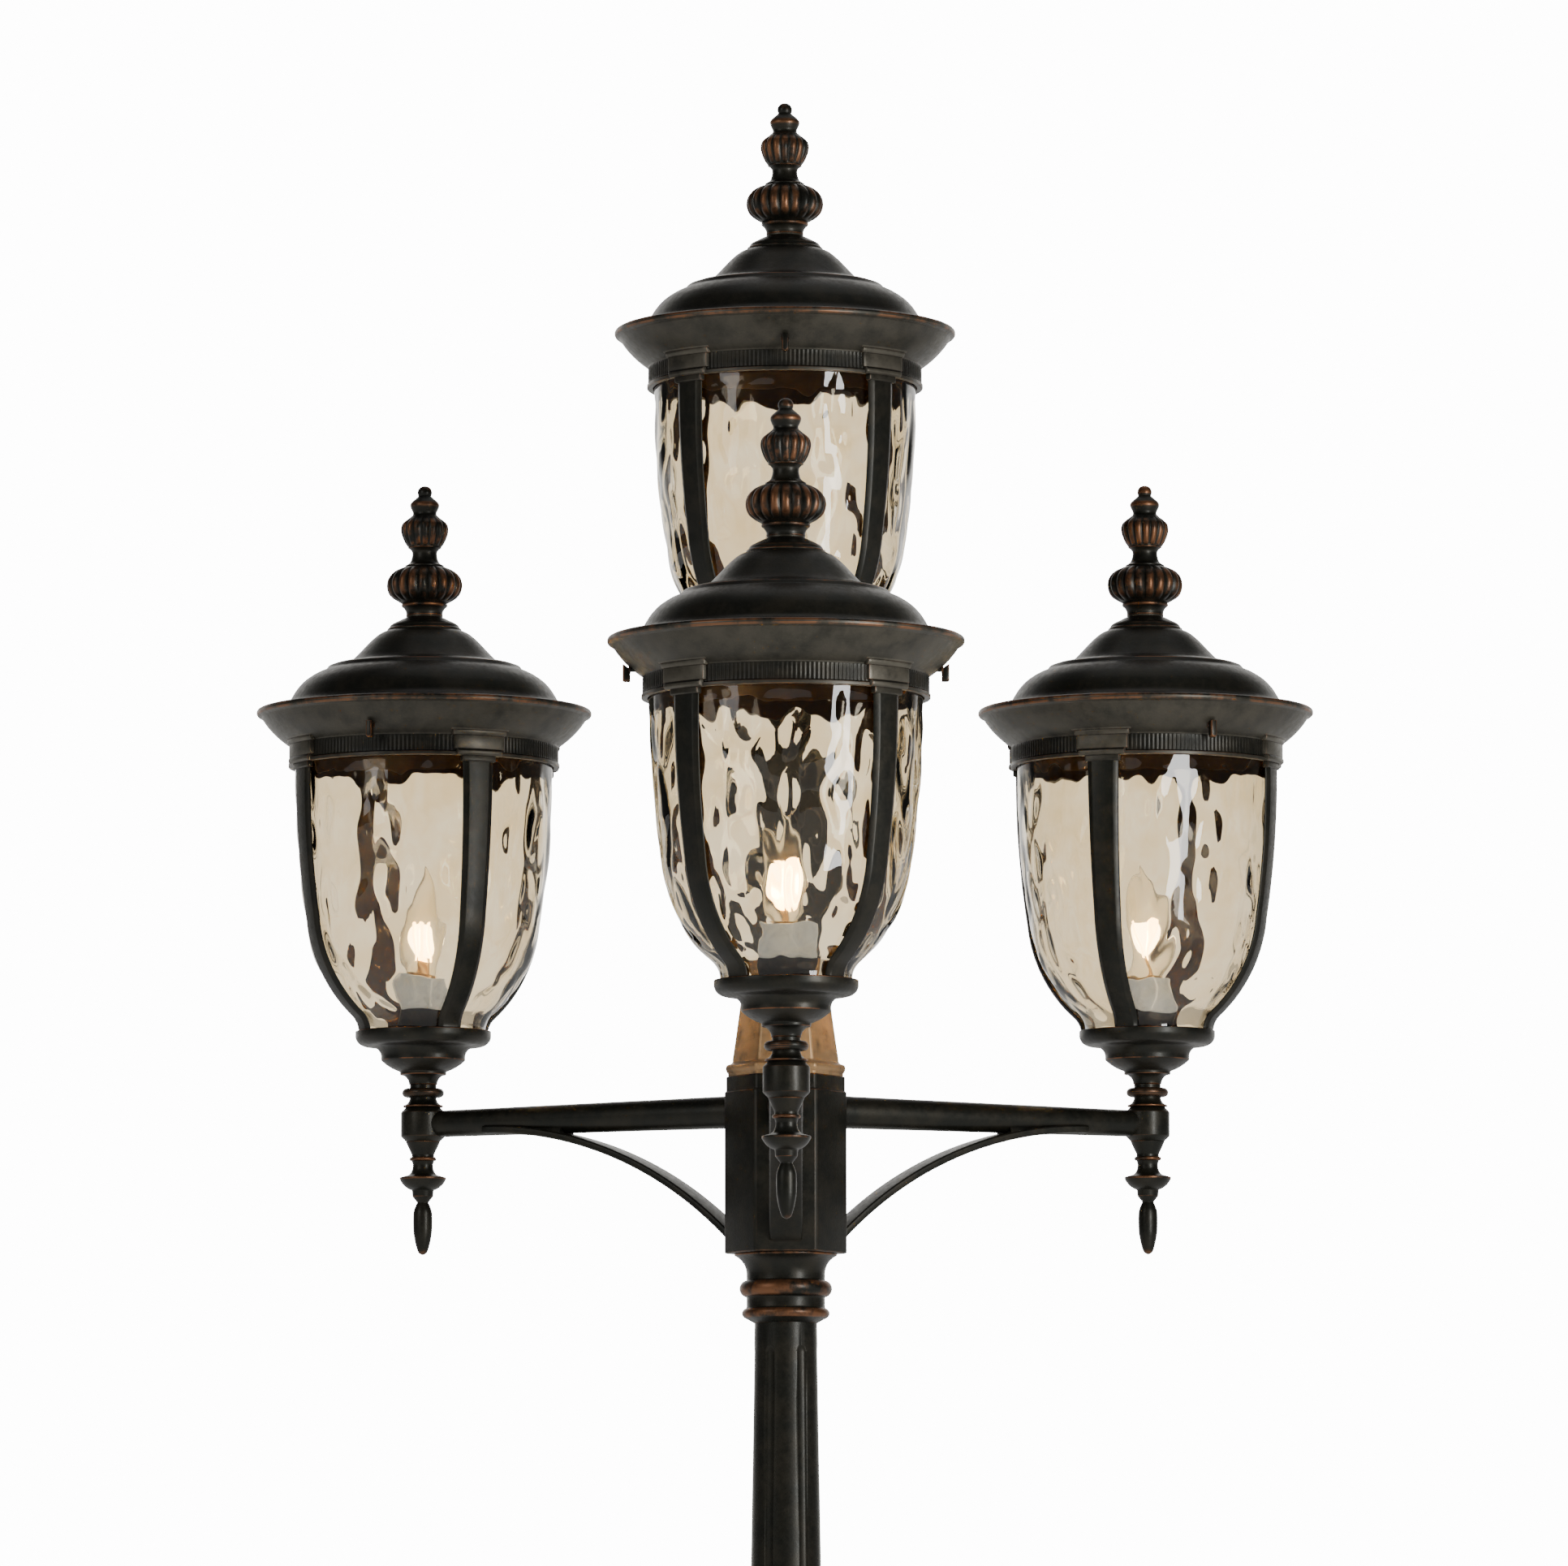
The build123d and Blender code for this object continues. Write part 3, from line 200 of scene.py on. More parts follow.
class Shaper:
    """Makes plain meshes in metres from sizes in millimetres."""

    @staticmethod
    def mesh(
        name: str, points: Iterable[Sequence[float]], faces: Iterable[Sequence[int]]
    ) -> bpy.types.Mesh:
        """Builds a mesh with merged doubles and outward faces.

        Args:
            name: the mesh's name.
            points: corners in millimetres.
            faces: corner numbers of each face.

        Returns:
            The mesh, smooth, in metres.
        """
        mesh = bpy.data.meshes.new(name)
        corners = [tuple(value * MM for value in point) for point in points]
        mesh.from_pydata(corners, [], list(faces))
        work = bmesh.new()
        work.from_mesh(mesh)
        bmesh.ops.remove_doubles(work, verts=work.verts, dist=2 * TINY)
        bmesh.ops.dissolve_degenerate(work, edges=work.edges, dist=TINY)
        bmesh.ops.recalc_face_normals(work, faces=work.faces)
        for face in work.faces:
            face.smooth = True
        work.to_mesh(mesh)
        work.free()
        return mesh

    @staticmethod
    def turned(
        name: str, outline: Outline, steps: int = 96, closed: bool = False
    ) -> bpy.types.Mesh:
        """Turns an outline about the upright axis.

        Args:
            name: the mesh's name.
            outline: the half section.
            steps: facets round the axis.
            closed: whether the section joins its own start.

        Returns:
            The turned mesh.
        """
        section = outline.points
        count = len(section)
        points = []
        for step in range(steps):
            angle = math.tau * step / steps
            for radius, height in section:
                points.append((radius * math.cos(angle), radius * math.sin(angle), height))
        faces = []
        last = count if closed else count - 1
        for step in range(steps):
            here, there = step * count, (step + 1) % steps * count
            for index in range(last):
                after = (index + 1) % count
                faces.append((here + index, there + index, there + after, here + after))
        return Shaper.mesh(name, points, faces)

    @staticmethod
    def skinned(name: str, loops: Sequence[Sequence[Sequence[float]]]) -> bpy.types.Mesh:
        """Skins closed loops that have the same number of points, and fills both ends.

        Args:
            name: the mesh's name.
            loops: the loops in order, points in millimetres.

        Returns:
            The skinned mesh.
        """
        count = len(loops[0])
        points = [point for loop in loops for point in loop]
        faces: list[tuple[int, ...]] = []
        for row in range(len(loops) - 1):
            here, there = row * count, (row + 1) * count
            for index in range(count):
                after = (index + 1) % count
                faces.append((here + index, here + after, there + after, there + index))
        faces.append(tuple(range(count)))
        faces.append(tuple(range((len(loops) - 1) * count, len(loops) * count)))
        return Shaper.mesh(name, points, faces)

    @staticmethod
    def places(mesh: bpy.types.Mesh) -> np.ndarray:
        """The corners' x, y and z in millimetres, a row each."""
        place = np.empty(len(mesh.vertices) * 3)
        mesh.vertices.foreach_get("co", place)
        return place.reshape(-1, 3).T / MM

    @staticmethod
    def mask(mesh: bpy.types.Mesh, label: str, values: np.ndarray) -> None:
        """Stores a number at each corner, over what was there."""
        layer = mesh.attributes.get(label) or mesh.attributes.new(label, "FLOAT", "POINT")
        layer.data.foreach_set("value", values.astype(np.float32))


class Layout:
    """Short hand for laying out a node tree."""

    def __init__(self, tree: bpy.types.NodeTree) -> None:
        """Keeps the tree that nodes are added to."""
        self.tree = tree

    def add(self, kind: str, values: dict | None = None, **settings: object) -> bpy.types.Node:
        """Adds a node.

        Args:
            kind: the node's class name.
            values: socket to number, colour or the socket that feeds it.
            settings: properties to set on the node.

        Returns:
            The node.
        """
        node = self.tree.nodes.new(kind)
        for key, value in settings.items():
            setattr(node, key, value)
        for key, value in (values or {}).items():
            if isinstance(value, bpy.types.NodeSocket):
                self.tree.links.new(value, node.inputs[key])
            else:
                node.inputs[key].default_value = value
        return node

    def math(self, operation: str, first: object, second: object = 0.0) -> bpy.types.NodeSocket:
        """Adds a Math node and gives its output."""
        values = {0: first, 1: second}
        return self.add("ShaderNodeMath", values, operation=operation).outputs[0]

    def vector(self, operation: str, first: object, second: object = None) -> bpy.types.NodeSocket:
        """Adds a Vector Math node and gives its output."""
        values = {0: first}
        if second is not None:
            values["Scale" if operation == "SCALE" else 1] = second
        return self.add("ShaderNodeVectorMath", values, operation=operation).outputs[0]

    def ramp(self, value: bpy.types.NodeSocket, low: float, high: float) -> bpy.types.NodeSocket:
        """Maps low to 0 and high to 1, eased, and gives the output."""
        limits = {"Value": value, "From Min": low, "From Max": high}
        node = self.add("ShaderNodeMapRange", limits, interpolation_type="SMOOTHSTEP")
        return node.outputs["Result"]

    def mix(self, share: bpy.types.NodeSocket, low: object, high: object) -> bpy.types.NodeSocket:
        """Blends two colours, each a socket or three numbers, and gives the output."""
        values = {0: share}
        for key, side in ((6, low), (7, high)):
            values[key] = side if isinstance(side, bpy.types.NodeSocket) else (*side, 1.0)
        return self.add("ShaderNodeMix", values, data_type="RGBA").outputs[2]

    def noise(
        self, where: bpy.types.NodeSocket, scale: float, detail: float, roughness: float = 0.5
    ) -> bpy.types.Node:
        """Adds a noise texture."""
        values = {"Vector": where, "Scale": scale, "Detail": detail, "Roughness": roughness}
        return self.add("ShaderNodeTexNoise", values)


class Relief:
    """Geometry Nodes trees that repeat or carve what follows a rule."""

    @staticmethod
    def _start(name: str, **sizes: float) -> tuple[bpy.types.NodeTree, Layout, bpy.types.Node]:
        """Makes a tree with a geometry in and out, the named inputs and a material."""
        tree = bpy.data.node_groups.new(name, "GeometryNodeTree")
        for way in ("OUTPUT", "INPUT"):
            tree.interface.new_socket(
                name="Geometry", in_out=way, socket_type="NodeSocketGeometry"
            )
        for label, value in sizes.items():
            kind = "NodeSocketInt" if isinstance(value, int) else "NodeSocketFloat"
            label = label.replace("_", " ")
            socket = tree.interface.new_socket(name=label, in_out="INPUT", socket_type=kind)
            socket.default_value = value
        tree.interface.new_socket(
            name="Material", in_out="INPUT", socket_type="NodeSocketMaterial"
        )
        work = Layout(tree)
        return tree, work, work.add("NodeGroupInput")

    @staticmethod
    def _end(work: Layout, geometry: bpy.types.NodeSocket, inputs: bpy.types.Node) -> None:
        """Ends the tree in Realize Instances and Set Material."""
        real = work.add("GeometryNodeRealizeInstances", {"Geometry": geometry})
        values = {"Geometry": real.outputs[0], "Material": inputs.outputs["Material"]}
        made = work.add("GeometryNodeSetMaterial", values)
        work.add("NodeGroupOutput", {"Geometry": made.outputs[0]})

    @staticmethod
    def _pressed(
        work: Layout, inputs: bpy.types.Node, wave: bpy.types.NodeSocket, mask: str
    ) -> None:
        """Ends the tree in points moved towards the upright axis.

        Args:
            work: the tree's layout.
            inputs: the tree's inputs, with Depth among them.
            wave: how far each point moves, as a share of Depth.
            mask: the attribute that scales the wave.
        """
        named = work.add("GeometryNodeInputNamedAttribute", {"Name": mask}, data_type="FLOAT")
        deepest = work.math("MULTIPLY", named.outputs[0], inputs.outputs["Depth"])
        depth = work.math("MULTIPLY", wave, deepest)
        place = work.add("GeometryNodeInputPosition")
        parts = work.add("ShaderNodeSeparateXYZ", {0: place.outputs[0]})
        flat = work.add("ShaderNodeCombineXYZ", {0: parts.outputs["X"], 1: parts.outputs["Y"]})
        outward = work.vector("NORMALIZE", flat.outputs[0])
        offset = work.vector("SCALE", outward, work.math("MULTIPLY", depth, -1.0))
        values = {"Geometry": inputs.outputs["Geometry"], "Offset": offset}
        moved = work.add("GeometryNodeSetPosition", values)
        Relief._end(work, moved.outputs[0], inputs)

    @staticmethod
    def reeded() -> bpy.types.NodeTree:
        """Carves upright reeds round the axis, as deep as the mask says."""
        tree, work, inputs = Relief._start("Reeded surface", Count=20, Depth=0.002)
        place = work.add("GeometryNodeInputPosition")
        parts = work.add("ShaderNodeSeparateXYZ", {0: place.outputs[0]})
        angle = work.math("ARCTAN2", parts.outputs["Y"], parts.outputs["X"])
        half = work.math("MULTIPLY", work.math("MULTIPLY", angle, inputs.outputs["Count"]), 0.5)
        valley = work.math("SUBTRACT", 1.0, work.math("ABSOLUTE", work.math("COSINE", half)))
        Relief._pressed(work, inputs, valley, "reed")
        return tree

    @staticmethod
    def rippled() -> bpy.types.NodeTree:
        """Moves a glass surface inwards between tall soft cells."""
        tree, work, inputs = Relief._start(
            "Rippled glass", Scale=40.0, Depth=0.001, Stretch=0.5, Seed=1.0
        )
        place = work.add("GeometryNodeInputPosition")
        squeeze = work.add("ShaderNodeCombineXYZ", {0: 1.0, 1: 1.0, 2: inputs.outputs["Stretch"]})
        spot = work.vector("MULTIPLY", place.outputs[0], squeeze.outputs[0])
        side = work.add("GeometryNodeInputNamedAttribute", {"Name": "inside"}, data_type="FLOAT")
        apart = work.math("MULTIPLY", side.outputs[0], 7.3)
        drift = work.math("ADD", apart, inputs.outputs["Seed"])
        shift = work.add("ShaderNodeCombineXYZ", {0: drift, 1: drift, 2: drift})
        there = work.vector("ADD", spot, shift.outputs[0])
        bent = work.noise(there, 26.0, 1.0)
        middle = work.vector("SUBTRACT", bent.outputs["Color"], (0.5, 0.5, 0.5))
        where = work.vector("ADD", there, work.vector("SCALE", middle, 0.030))
        values = {"Vector": where, "Scale": inputs.outputs["Scale"], "Smoothness": 0.35}
        cell = work.add("ShaderNodeTexVoronoi", values, feature="SMOOTH_F1")
        wave = work.ramp(cell.outputs["Distance"], 0.10, 0.78)
        Relief._pressed(work, inputs, wave, "ripple")
        return tree

    @staticmethod
    def ringed() -> bpy.types.NodeTree:
        """Repeats one piece at even turns round the upright axis."""
        tree, work, inputs = Relief._start("Ring of pieces", Count=4, First_turn=0.0)
        values = {"Count": inputs.outputs["Count"], "Offset": (0.0, 0.0, 0.0)}
        row = work.add("GeometryNodeMeshLine", values)
        index = work.add("GeometryNodeInputIndex")
        part = work.math("DIVIDE", math.tau, inputs.outputs["Count"])
        along = work.math("MULTIPLY", index.outputs[0], part)
        turn = work.math("ADD", along, inputs.outputs["First turn"])
        about = work.add("ShaderNodeCombineXYZ", {2: turn}).outputs[0]
        shape = inputs.outputs["Geometry"]
        values = {"Points": row.outputs[0], "Instance": shape, "Rotation": about}
        copies = work.add("GeometryNodeInstanceOnPoints", values)
        Relief._end(work, copies.outputs[0], inputs)
        return tree


class Workshop:
    """Turns meshes into dressed pieces that ride on the CAD's bodies."""

    def __init__(self) -> None:
        """Makes the relief trees once."""
        self.trees = {
            "reeded": Relief.reeded(), "rippled": Relief.rippled(), "ringed": Relief.ringed()
        }

    def relief(
        self, mesh: bpy.types.Mesh, tree: str, material: bpy.types.Material, **sizes: object
    ) -> bpy.types.Mesh:
        """Runs a relief tree on a mesh and gives the plain result.

        Args:
            mesh: what the tree starts from.
            tree: reeded, rippled or ringed.
            material: the finish that the tree sets.
            sizes: the tree's inputs, with _ for a space in a name.

        Returns:
            A new mesh.
        """
        carrier, modifier = self.carried(mesh, "NODES")
        modifier.node_group = self.trees[tree]
        given = {key.replace("_", " "): value for key, value in sizes.items()}
        given["Material"] = material
        for item in self.trees[tree].interface.items_tree:
            if getattr(item, "in_out", "") == "INPUT" and item.name in given:
                modifier[item.identifier] = given[item.name]
        return self.baked(carrier)

    @staticmethod
    def carried(mesh: bpy.types.Mesh, kind: str) -> tuple[bpy.types.Object, bpy.types.Modifier]:
        """Puts a mesh on a passing object with one modifier."""
        carrier = linked(mesh.name, mesh)
        return carrier, carrier.modifiers.new(kind, kind)

    @staticmethod
    def baked(carrier: bpy.types.Object) -> bpy.types.Mesh:
        """The passing object's mesh with its modifier applied."""
        bpy.context.view_layer.update()
        depsgraph = bpy.context.evaluated_depsgraph_get()
        made = bpy.data.meshes.new_from_object(carrier.evaluated_get(depsgraph))
        bpy.data.objects.remove(carrier)
        return made

    @staticmethod
    def bevelled(mesh: bpy.types.Mesh, width: float, angle: float) -> bpy.types.Mesh:
        """Rounds edges sharper than the angle by a width in millimetres."""
        carrier, modifier = Workshop.carried(mesh, "BEVEL")
        modifier.width = width * MM
        modifier.segments = 2
        modifier.limit_method = "ANGLE"
        modifier.angle_limit = math.radians(angle)
        modifier.harden_normals = False
        return Workshop.baked(carrier)

    @staticmethod
    def mark_wear(mesh: bpy.types.Mesh, rub: np.ndarray) -> None:
        """Stores on each face corner how sharply it stands out, so that edges can be rubbed.

        A corner takes no more than its own face's share, so a wide flat face
        stays dark beside a rubbed bevel.

        Args:
            mesh: the piece's mesh.
            rub: how easily each face is rubbed, 1 as a rule.
        """

        def read(
            source: bpy.types.bpy_prop_collection, label: str, kind: type, wide: int = 1
        ) -> np.ndarray:
            """One property of every element as an array."""
            values = np.empty(len(source) * wide, kind)
            source.foreach_get(label, values)
            return values.reshape(-1, wide) if wide > 1 else values

        faces, spots = len(mesh.polygons), len(mesh.vertices)
        owner = np.repeat(np.arange(faces), read(mesh.polygons, "loop_total", np.int64))
        edge_of = read(mesh.loops, "edge_index", np.int64)
        corner = read(mesh.loops, "vertex_index", np.int64)
        normal = read(mesh.polygons, "normal", np.float64, 3)
        centre = read(mesh.polygons, "center", np.float64, 3)
        area = read(mesh.polygons, "area", np.float64)
        ends = read(mesh.edges, "vertices", np.int64, 2)
        place = read(mesh.vertices, "co", np.float64, 3)
        order = np.argsort(edge_of, kind="stable")
        edges, sides = edge_of[order], owner[order]
        pair = np.nonzero(edges[1:] == edges[:-1])[0]
        edge, first, second = edges[pair], sides[pair], sides[pair + 1]
        cosine = np.clip((normal[first] * normal[second]).sum(1), -1, 1)
        outwards = ((centre[second] - centre[first]) * normal[first]).sum(1) < 0
        length = np.linalg.norm(place[ends[edge, 0]] - place[ends[edge, 1]], axis=1)
        bend = np.arccos(cosine) * np.where(outwards, length, -length)
        own = np.zeros(faces)
        np.add.at(own, first, bend)
        np.add.at(own, second, bend)
        own = own / np.maximum(area, 1e-12) * MM
        total, number = np.zeros(spots), np.zeros(spots)
        np.add.at(total, corner, own[owner])
        np.add.at(number, corner, 1.0)
        mean = (total / np.maximum(number, 1.0))[corner]
        limit = 1.5 * np.abs(own[owner])
        level = np.clip(mean, -limit, limit) * rub[owner]
        wear = np.sign(level) * np.clip(np.abs(level) - LEAST_BEND, 0, 1)
        layer = mesh.attributes.new("wear", "FLOAT", "CORNER")
        layer.data.foreach_set("value", wear.astype(np.float32))

    @staticmethod
    def mark_painted_light(mesh: bpy.types.Mesh, share: np.ndarray) -> None:
        """Stores on each face its share of paler grey with painted sheen, and -1 where it faces the
        axis, for painted glow of the bulb.

        Args:
            mesh: the piece's mesh, still in its lantern's frame.
            share: the outer faces' share of paler grey with painted sheen, where they don't look up.
        """
        layer = mesh.attributes.new("pale", "FLOAT", "FACE")
        for polygon, value, painted_light_mask in zip(mesh.polygons, layer.data, share):
            centre, normal = polygon.center.xy, polygon.normal
            # faces towards the axis: painted warm glow of the bulb
            if centre.dot(normal.xy) < -0.3 * centre.length:
                value.value = -1.0
            # outer faces that don't look up: partly a paler grey coating, partly painted sheen of
            # light from below
            elif normal.z < 0.2:
                value.value = painted_light_mask

    @staticmethod
    def crease(mesh: bpy.types.Mesh, angle: float = 38.0) -> None:
        """Keeps edges sharper than the angle sharp under smooth shading."""
        work = bmesh.new()
        work.from_mesh(mesh)
        limit = math.radians(angle)
        for face in work.faces:
            face.smooth = True
        for edge in work.edges:
            if len(edge.link_faces) == 2:
                edge.smooth = edge.calc_face_angle(0.0) < limit
        work.to_mesh(mesh)
        work.free()

    def piece(
        self,
        name: str,
        meshes: Sequence[bpy.types.Mesh],
        material: bpy.types.Material,
        slot: Slot,
        body: str,
        nodes: Sequence[str] = (),
        seat: Matrix | None = None,
        rub: Sequence[float] = (),
        pale: Sequence[float] = (),
    ) -> bpy.types.Object:
        """Joins meshes into one piece that rides on a body.

        Args:
            name: the piece's name.
            meshes: what it is made of, in the seat's frame.
            material: its finish.
            slot: the record's slot that the finish belongs to; not used.
            body: the CAD body that carries it.
            nodes: CAD nodes that it stands for.
            seat: from the meshes' frame to the lamp post's.
            rub: how easily each mesh is rubbed, 1 if left out.
            pale: each mesh's share of paler grey with painted sheen, 0 if left out.

        Returns:
            The piece.
        """
        work = bmesh.new()
        for mesh in meshes:
            work.from_mesh(mesh)
        whole = bpy.data.meshes.new(name)
        work.to_mesh(whole)
        work.free()
        counts = [len(mesh.polygons) for mesh in meshes]
        # paler grey with painted sheen, and painted bulb glow on inner faces
        if pale:
            self.mark_painted_light(whole, np.repeat(pale, counts))
        if seat:
            whole.transform(seat)
        whole.materials.clear()
        whole.materials.append(material)
        for polygon in whole.polygons:
            polygon.material_index = 0
        self.crease(whole)
        self.mark_wear(whole, np.repeat(rub or [1.0] * len(meshes), counts))
        made = linked(name, whole)
        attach(made, body)
        if nodes:
            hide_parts(*nodes)
        LOG.info("%s: %d faces on %s", name, len(whole.polygons), body)
        return made


class Finish:
    """A finish that is laid out as shader nodes."""

    name: str

    def begin(self) -> tuple[bpy.types.Material, Layout, bpy.types.NodeSocket]:
        """An empty material, its layout and the object's coordinates."""
        made = bpy.data.materials.new(self.name)
        made.use_nodes = True
        made.node_tree.nodes.clear()
        work = Layout(made.node_tree)
        return made, work, work.add("ShaderNodeTexCoord").outputs["Object"]

    @staticmethod
    def end(work: Layout, values: dict) -> None:
        """Adds the shader with its values, and the output."""
        shader = work.add("ShaderNodeBsdfPrincipled", values)
        work.add("ShaderNodeOutputMaterial", {"Surface": shader.outputs[0]})


@dataclass(frozen=True)
class BronzeFinish(Finish):
    """Dark satin coating, mottled, with rings and edges rubbed to copper, a paler grey with painted
    sheen, and painted glow of the bulb and lanterns.
    """

    name: str = "oil rubbed bronze"
    dark: Colour = (0.0110, 0.0112, 0.0080)
    warm: Colour = (0.0235, 0.0205, 0.0135)
    # paler grey coating, partly painted sheen, on faces that don't look up
    pale: Colour = (0.100, 0.091, 0.069)
    # painted warm glow of the bulb on faces towards the axis
    inside: Colour = (0.115, 0.060, 0.018)
    copper: Colour = (0.29, 0.125, 0.056)
    roughness: float = 0.40
    metallic: float = 0.55
    rub: float = 0.65
    grain: float = 0.35
    # painted warm glow of the lit lanterns, at the riser's foot
    golden: Colour = (0.42, 0.255, 0.120)
    lamplit_below: float = 0.0
    lamplit_fade: float = 0.045

    def material(self) -> bpy.types.Material:
        """The finish as shader nodes."""
        made, work, where = self.begin()
        cloud = work.noise(where, 55.0, 5.0, 0.6).outputs[0]
        speck = work.noise(where, 700.0, 3.0, 0.6).outputs[0]
        patch = work.noise(where, 220.0, 4.0, 0.65).outputs[0]
        wear = work.add("ShaderNodeAttribute", attribute_name="wear").outputs["Fac"]
        painted_light_mask = work.add("ShaderNodeAttribute", attribute_name="pale").outputs["Fac"]
        tone = work.mix(work.ramp(cloud, 0.35, 0.7), self.dark, self.warm)
        # painted sheen: paler grey on faces that don't look up
        painted_sheen = work.math("MULTIPLY", painted_light_mask, work.ramp(cloud, 0.0, 0.70))
        tone = work.mix(painted_sheen, tone, self.pale)
        # painted warm glow of the bulb on faces towards the axis
        tone = work.mix(work.math("MULTIPLY", painted_light_mask, -1.0), tone, self.inside)
        # painted warm glow of the lit lanterns, fading upwards from the riser's foot
        if self.lamplit_below:
            level = work.add("ShaderNodeSeparateXYZ", {0: where}).outputs["Z"]
            low = work.ramp(level, self.lamplit_below + self.lamplit_fade, self.lamplit_below)
            share = work.math("MULTIPLY", low, work.ramp(cloud, 0.15, 0.55))
            tone = work.mix(share, tone, self.golden)
        broken = work.math("MULTIPLY", work.ramp(cloud, 0.38, 0.62), self.rub)
        rubbed = work.math("MULTIPLY", work.ramp(wear, 0.10, 0.95), broken)
        sheen = {
            "Value": patch,
            "From Min": 0.25,
            "From Max": 0.75,
            "To Min": self.roughness - 0.08,
            "To Max": self.roughness + 0.12,
        }
        metal = {"Value": rubbed, "To Min": self.metallic, "To Max": 1.0}
        skin = {"Height": speck, "Strength": self.grain, "Distance": 0.00025}
        self.end(
            work,
            {
                "Base Color": work.mix(rubbed, tone, self.copper),
                "Metallic": work.add("ShaderNodeMapRange", metal).outputs[0],
                "Roughness": work.add("ShaderNodeMapRange", sheen).outputs[0],
                "Normal": work.add("ShaderNodeBump", skin).outputs[0],
                "Specular IOR Level": 0.36,
                "Coat Weight": 0.10,
                "Coat Roughness": 0.25,
            },
        )
        return made


@dataclass(frozen=True)
class GlassFinish(Finish):
    """Clear or tinted glass."""

    name: str = "champagne glass"
    tint: Colour = (0.90, 0.815, 0.655)
    roughness: float = 0.0
    ior: float = 1.48

    def material(self) -> bpy.types.Material:
        """The finish as shader nodes, with faint clouds in the tint."""
        made, work, where = self.begin()
        cloud = work.noise(where, 30.0, 2.0).outputs[0]
        deep = tuple(value**1.6 for value in self.tint)
        self.end(
            work,
            {
                "Base Color": work.mix(work.ramp(cloud, 0.35, 0.75), self.tint, deep),
                "Roughness": self.roughness,
                "IOR": self.ior,
                "Transmission Weight": 1.0,
            },
        )
        return made


@dataclass(frozen=True)
class PlainFinish(Finish):
    """Glaze, turned metal, a glowing wire or the floor, with light mottling."""

    name: str
    colour: Colour
    roughness: float = 0.3
    metallic: float = 0.0
    coat: float = 0.0
    glow: float = 0.0
    glow_colour: Colour = (1.0, 0.62, 0.26)

    def material(self) -> bpy.types.Material:
        """The finish as shader nodes."""
        made, work, where = self.begin()
        cloud = work.noise(where, 160.0, 4.0, 0.6).outputs[0]
        shade = tuple(value * 0.82 for value in self.colour)
        skin = {"Height": cloud, "Strength": 0.12, "Distance": 0.0002}
        self.end(
            work,
            {
                "Base Color": work.mix(work.ramp(cloud, 0.35, 0.7), self.colour, shade),
                "Roughness": self.roughness,
                "Metallic": self.metallic,
                "Coat Weight": self.coat,
                "Coat Roughness": 0.08,
                "Emission Color": (*self.glow_colour, 1.0),
                "Emission Strength": self.glow,
                "Normal": work.add("ShaderNodeBump", skin).outputs[0],
            },
        )
        return made


class Finishes:
    """Every finish of the lamp post, made once."""

    def __init__(self) -> None:
        """Makes the materials."""
        plain, glass = PlainFinish, GlassFinish
        # the riser's finish, with painted warm glow of the lit lanterns at its foot
        golden = BronzeFinish(name="bronze with a golden foot", lamplit_below=1.862)
        bulb = glass(name="clear bulb glass", tint=(0.99, 0.96, 0.90), roughness=0.16, ior=1.2)
        # painted glow: the porcelain gives off a faint cool light for the lit bulb shining on it
        lit = {"glow": 0.26, "glow_colour": (0.84, 0.92, 1.0)}
        glaze = plain("porcelain", (0.82, 0.87, 0.93), 0.25, coat=0.6, **lit)
        self.bronze = BronzeFinish().material()
        self.riser = golden.material()
        self.champagne = glass().material()
        self.clear = bulb.material()
        self.porcelain = glaze.material()
        self.brass = plain("rolled brass", (0.72, 0.55, 0.30), 0.32, metallic=1.0).material()
        self.zinc = plain("zinc plate", (0.62, 0.60, 0.52), 0.38, metallic=1.0).material()
        self.filament = plain("glowing wire", (1.0, 0.72, 0.40), 0.5, glow=90.0).material()
        self.husk = plain("dark husk", (0.030, 0.022, 0.018), 0.5, metallic=0.3).material()


@dataclass(frozen=True)
class Part:
    """One of a lantern's pieces: what it is called, made of and carried by."""

    name: str
    node: str
    meshes: Sequence[bpy.types.Mesh]
    material: bpy.types.Material
    slot: Slot
    body: Body
    rub: Sequence[float] = ()
    # each mesh's share of paler grey with painted sheen
    pale: Sequence[float] = ()


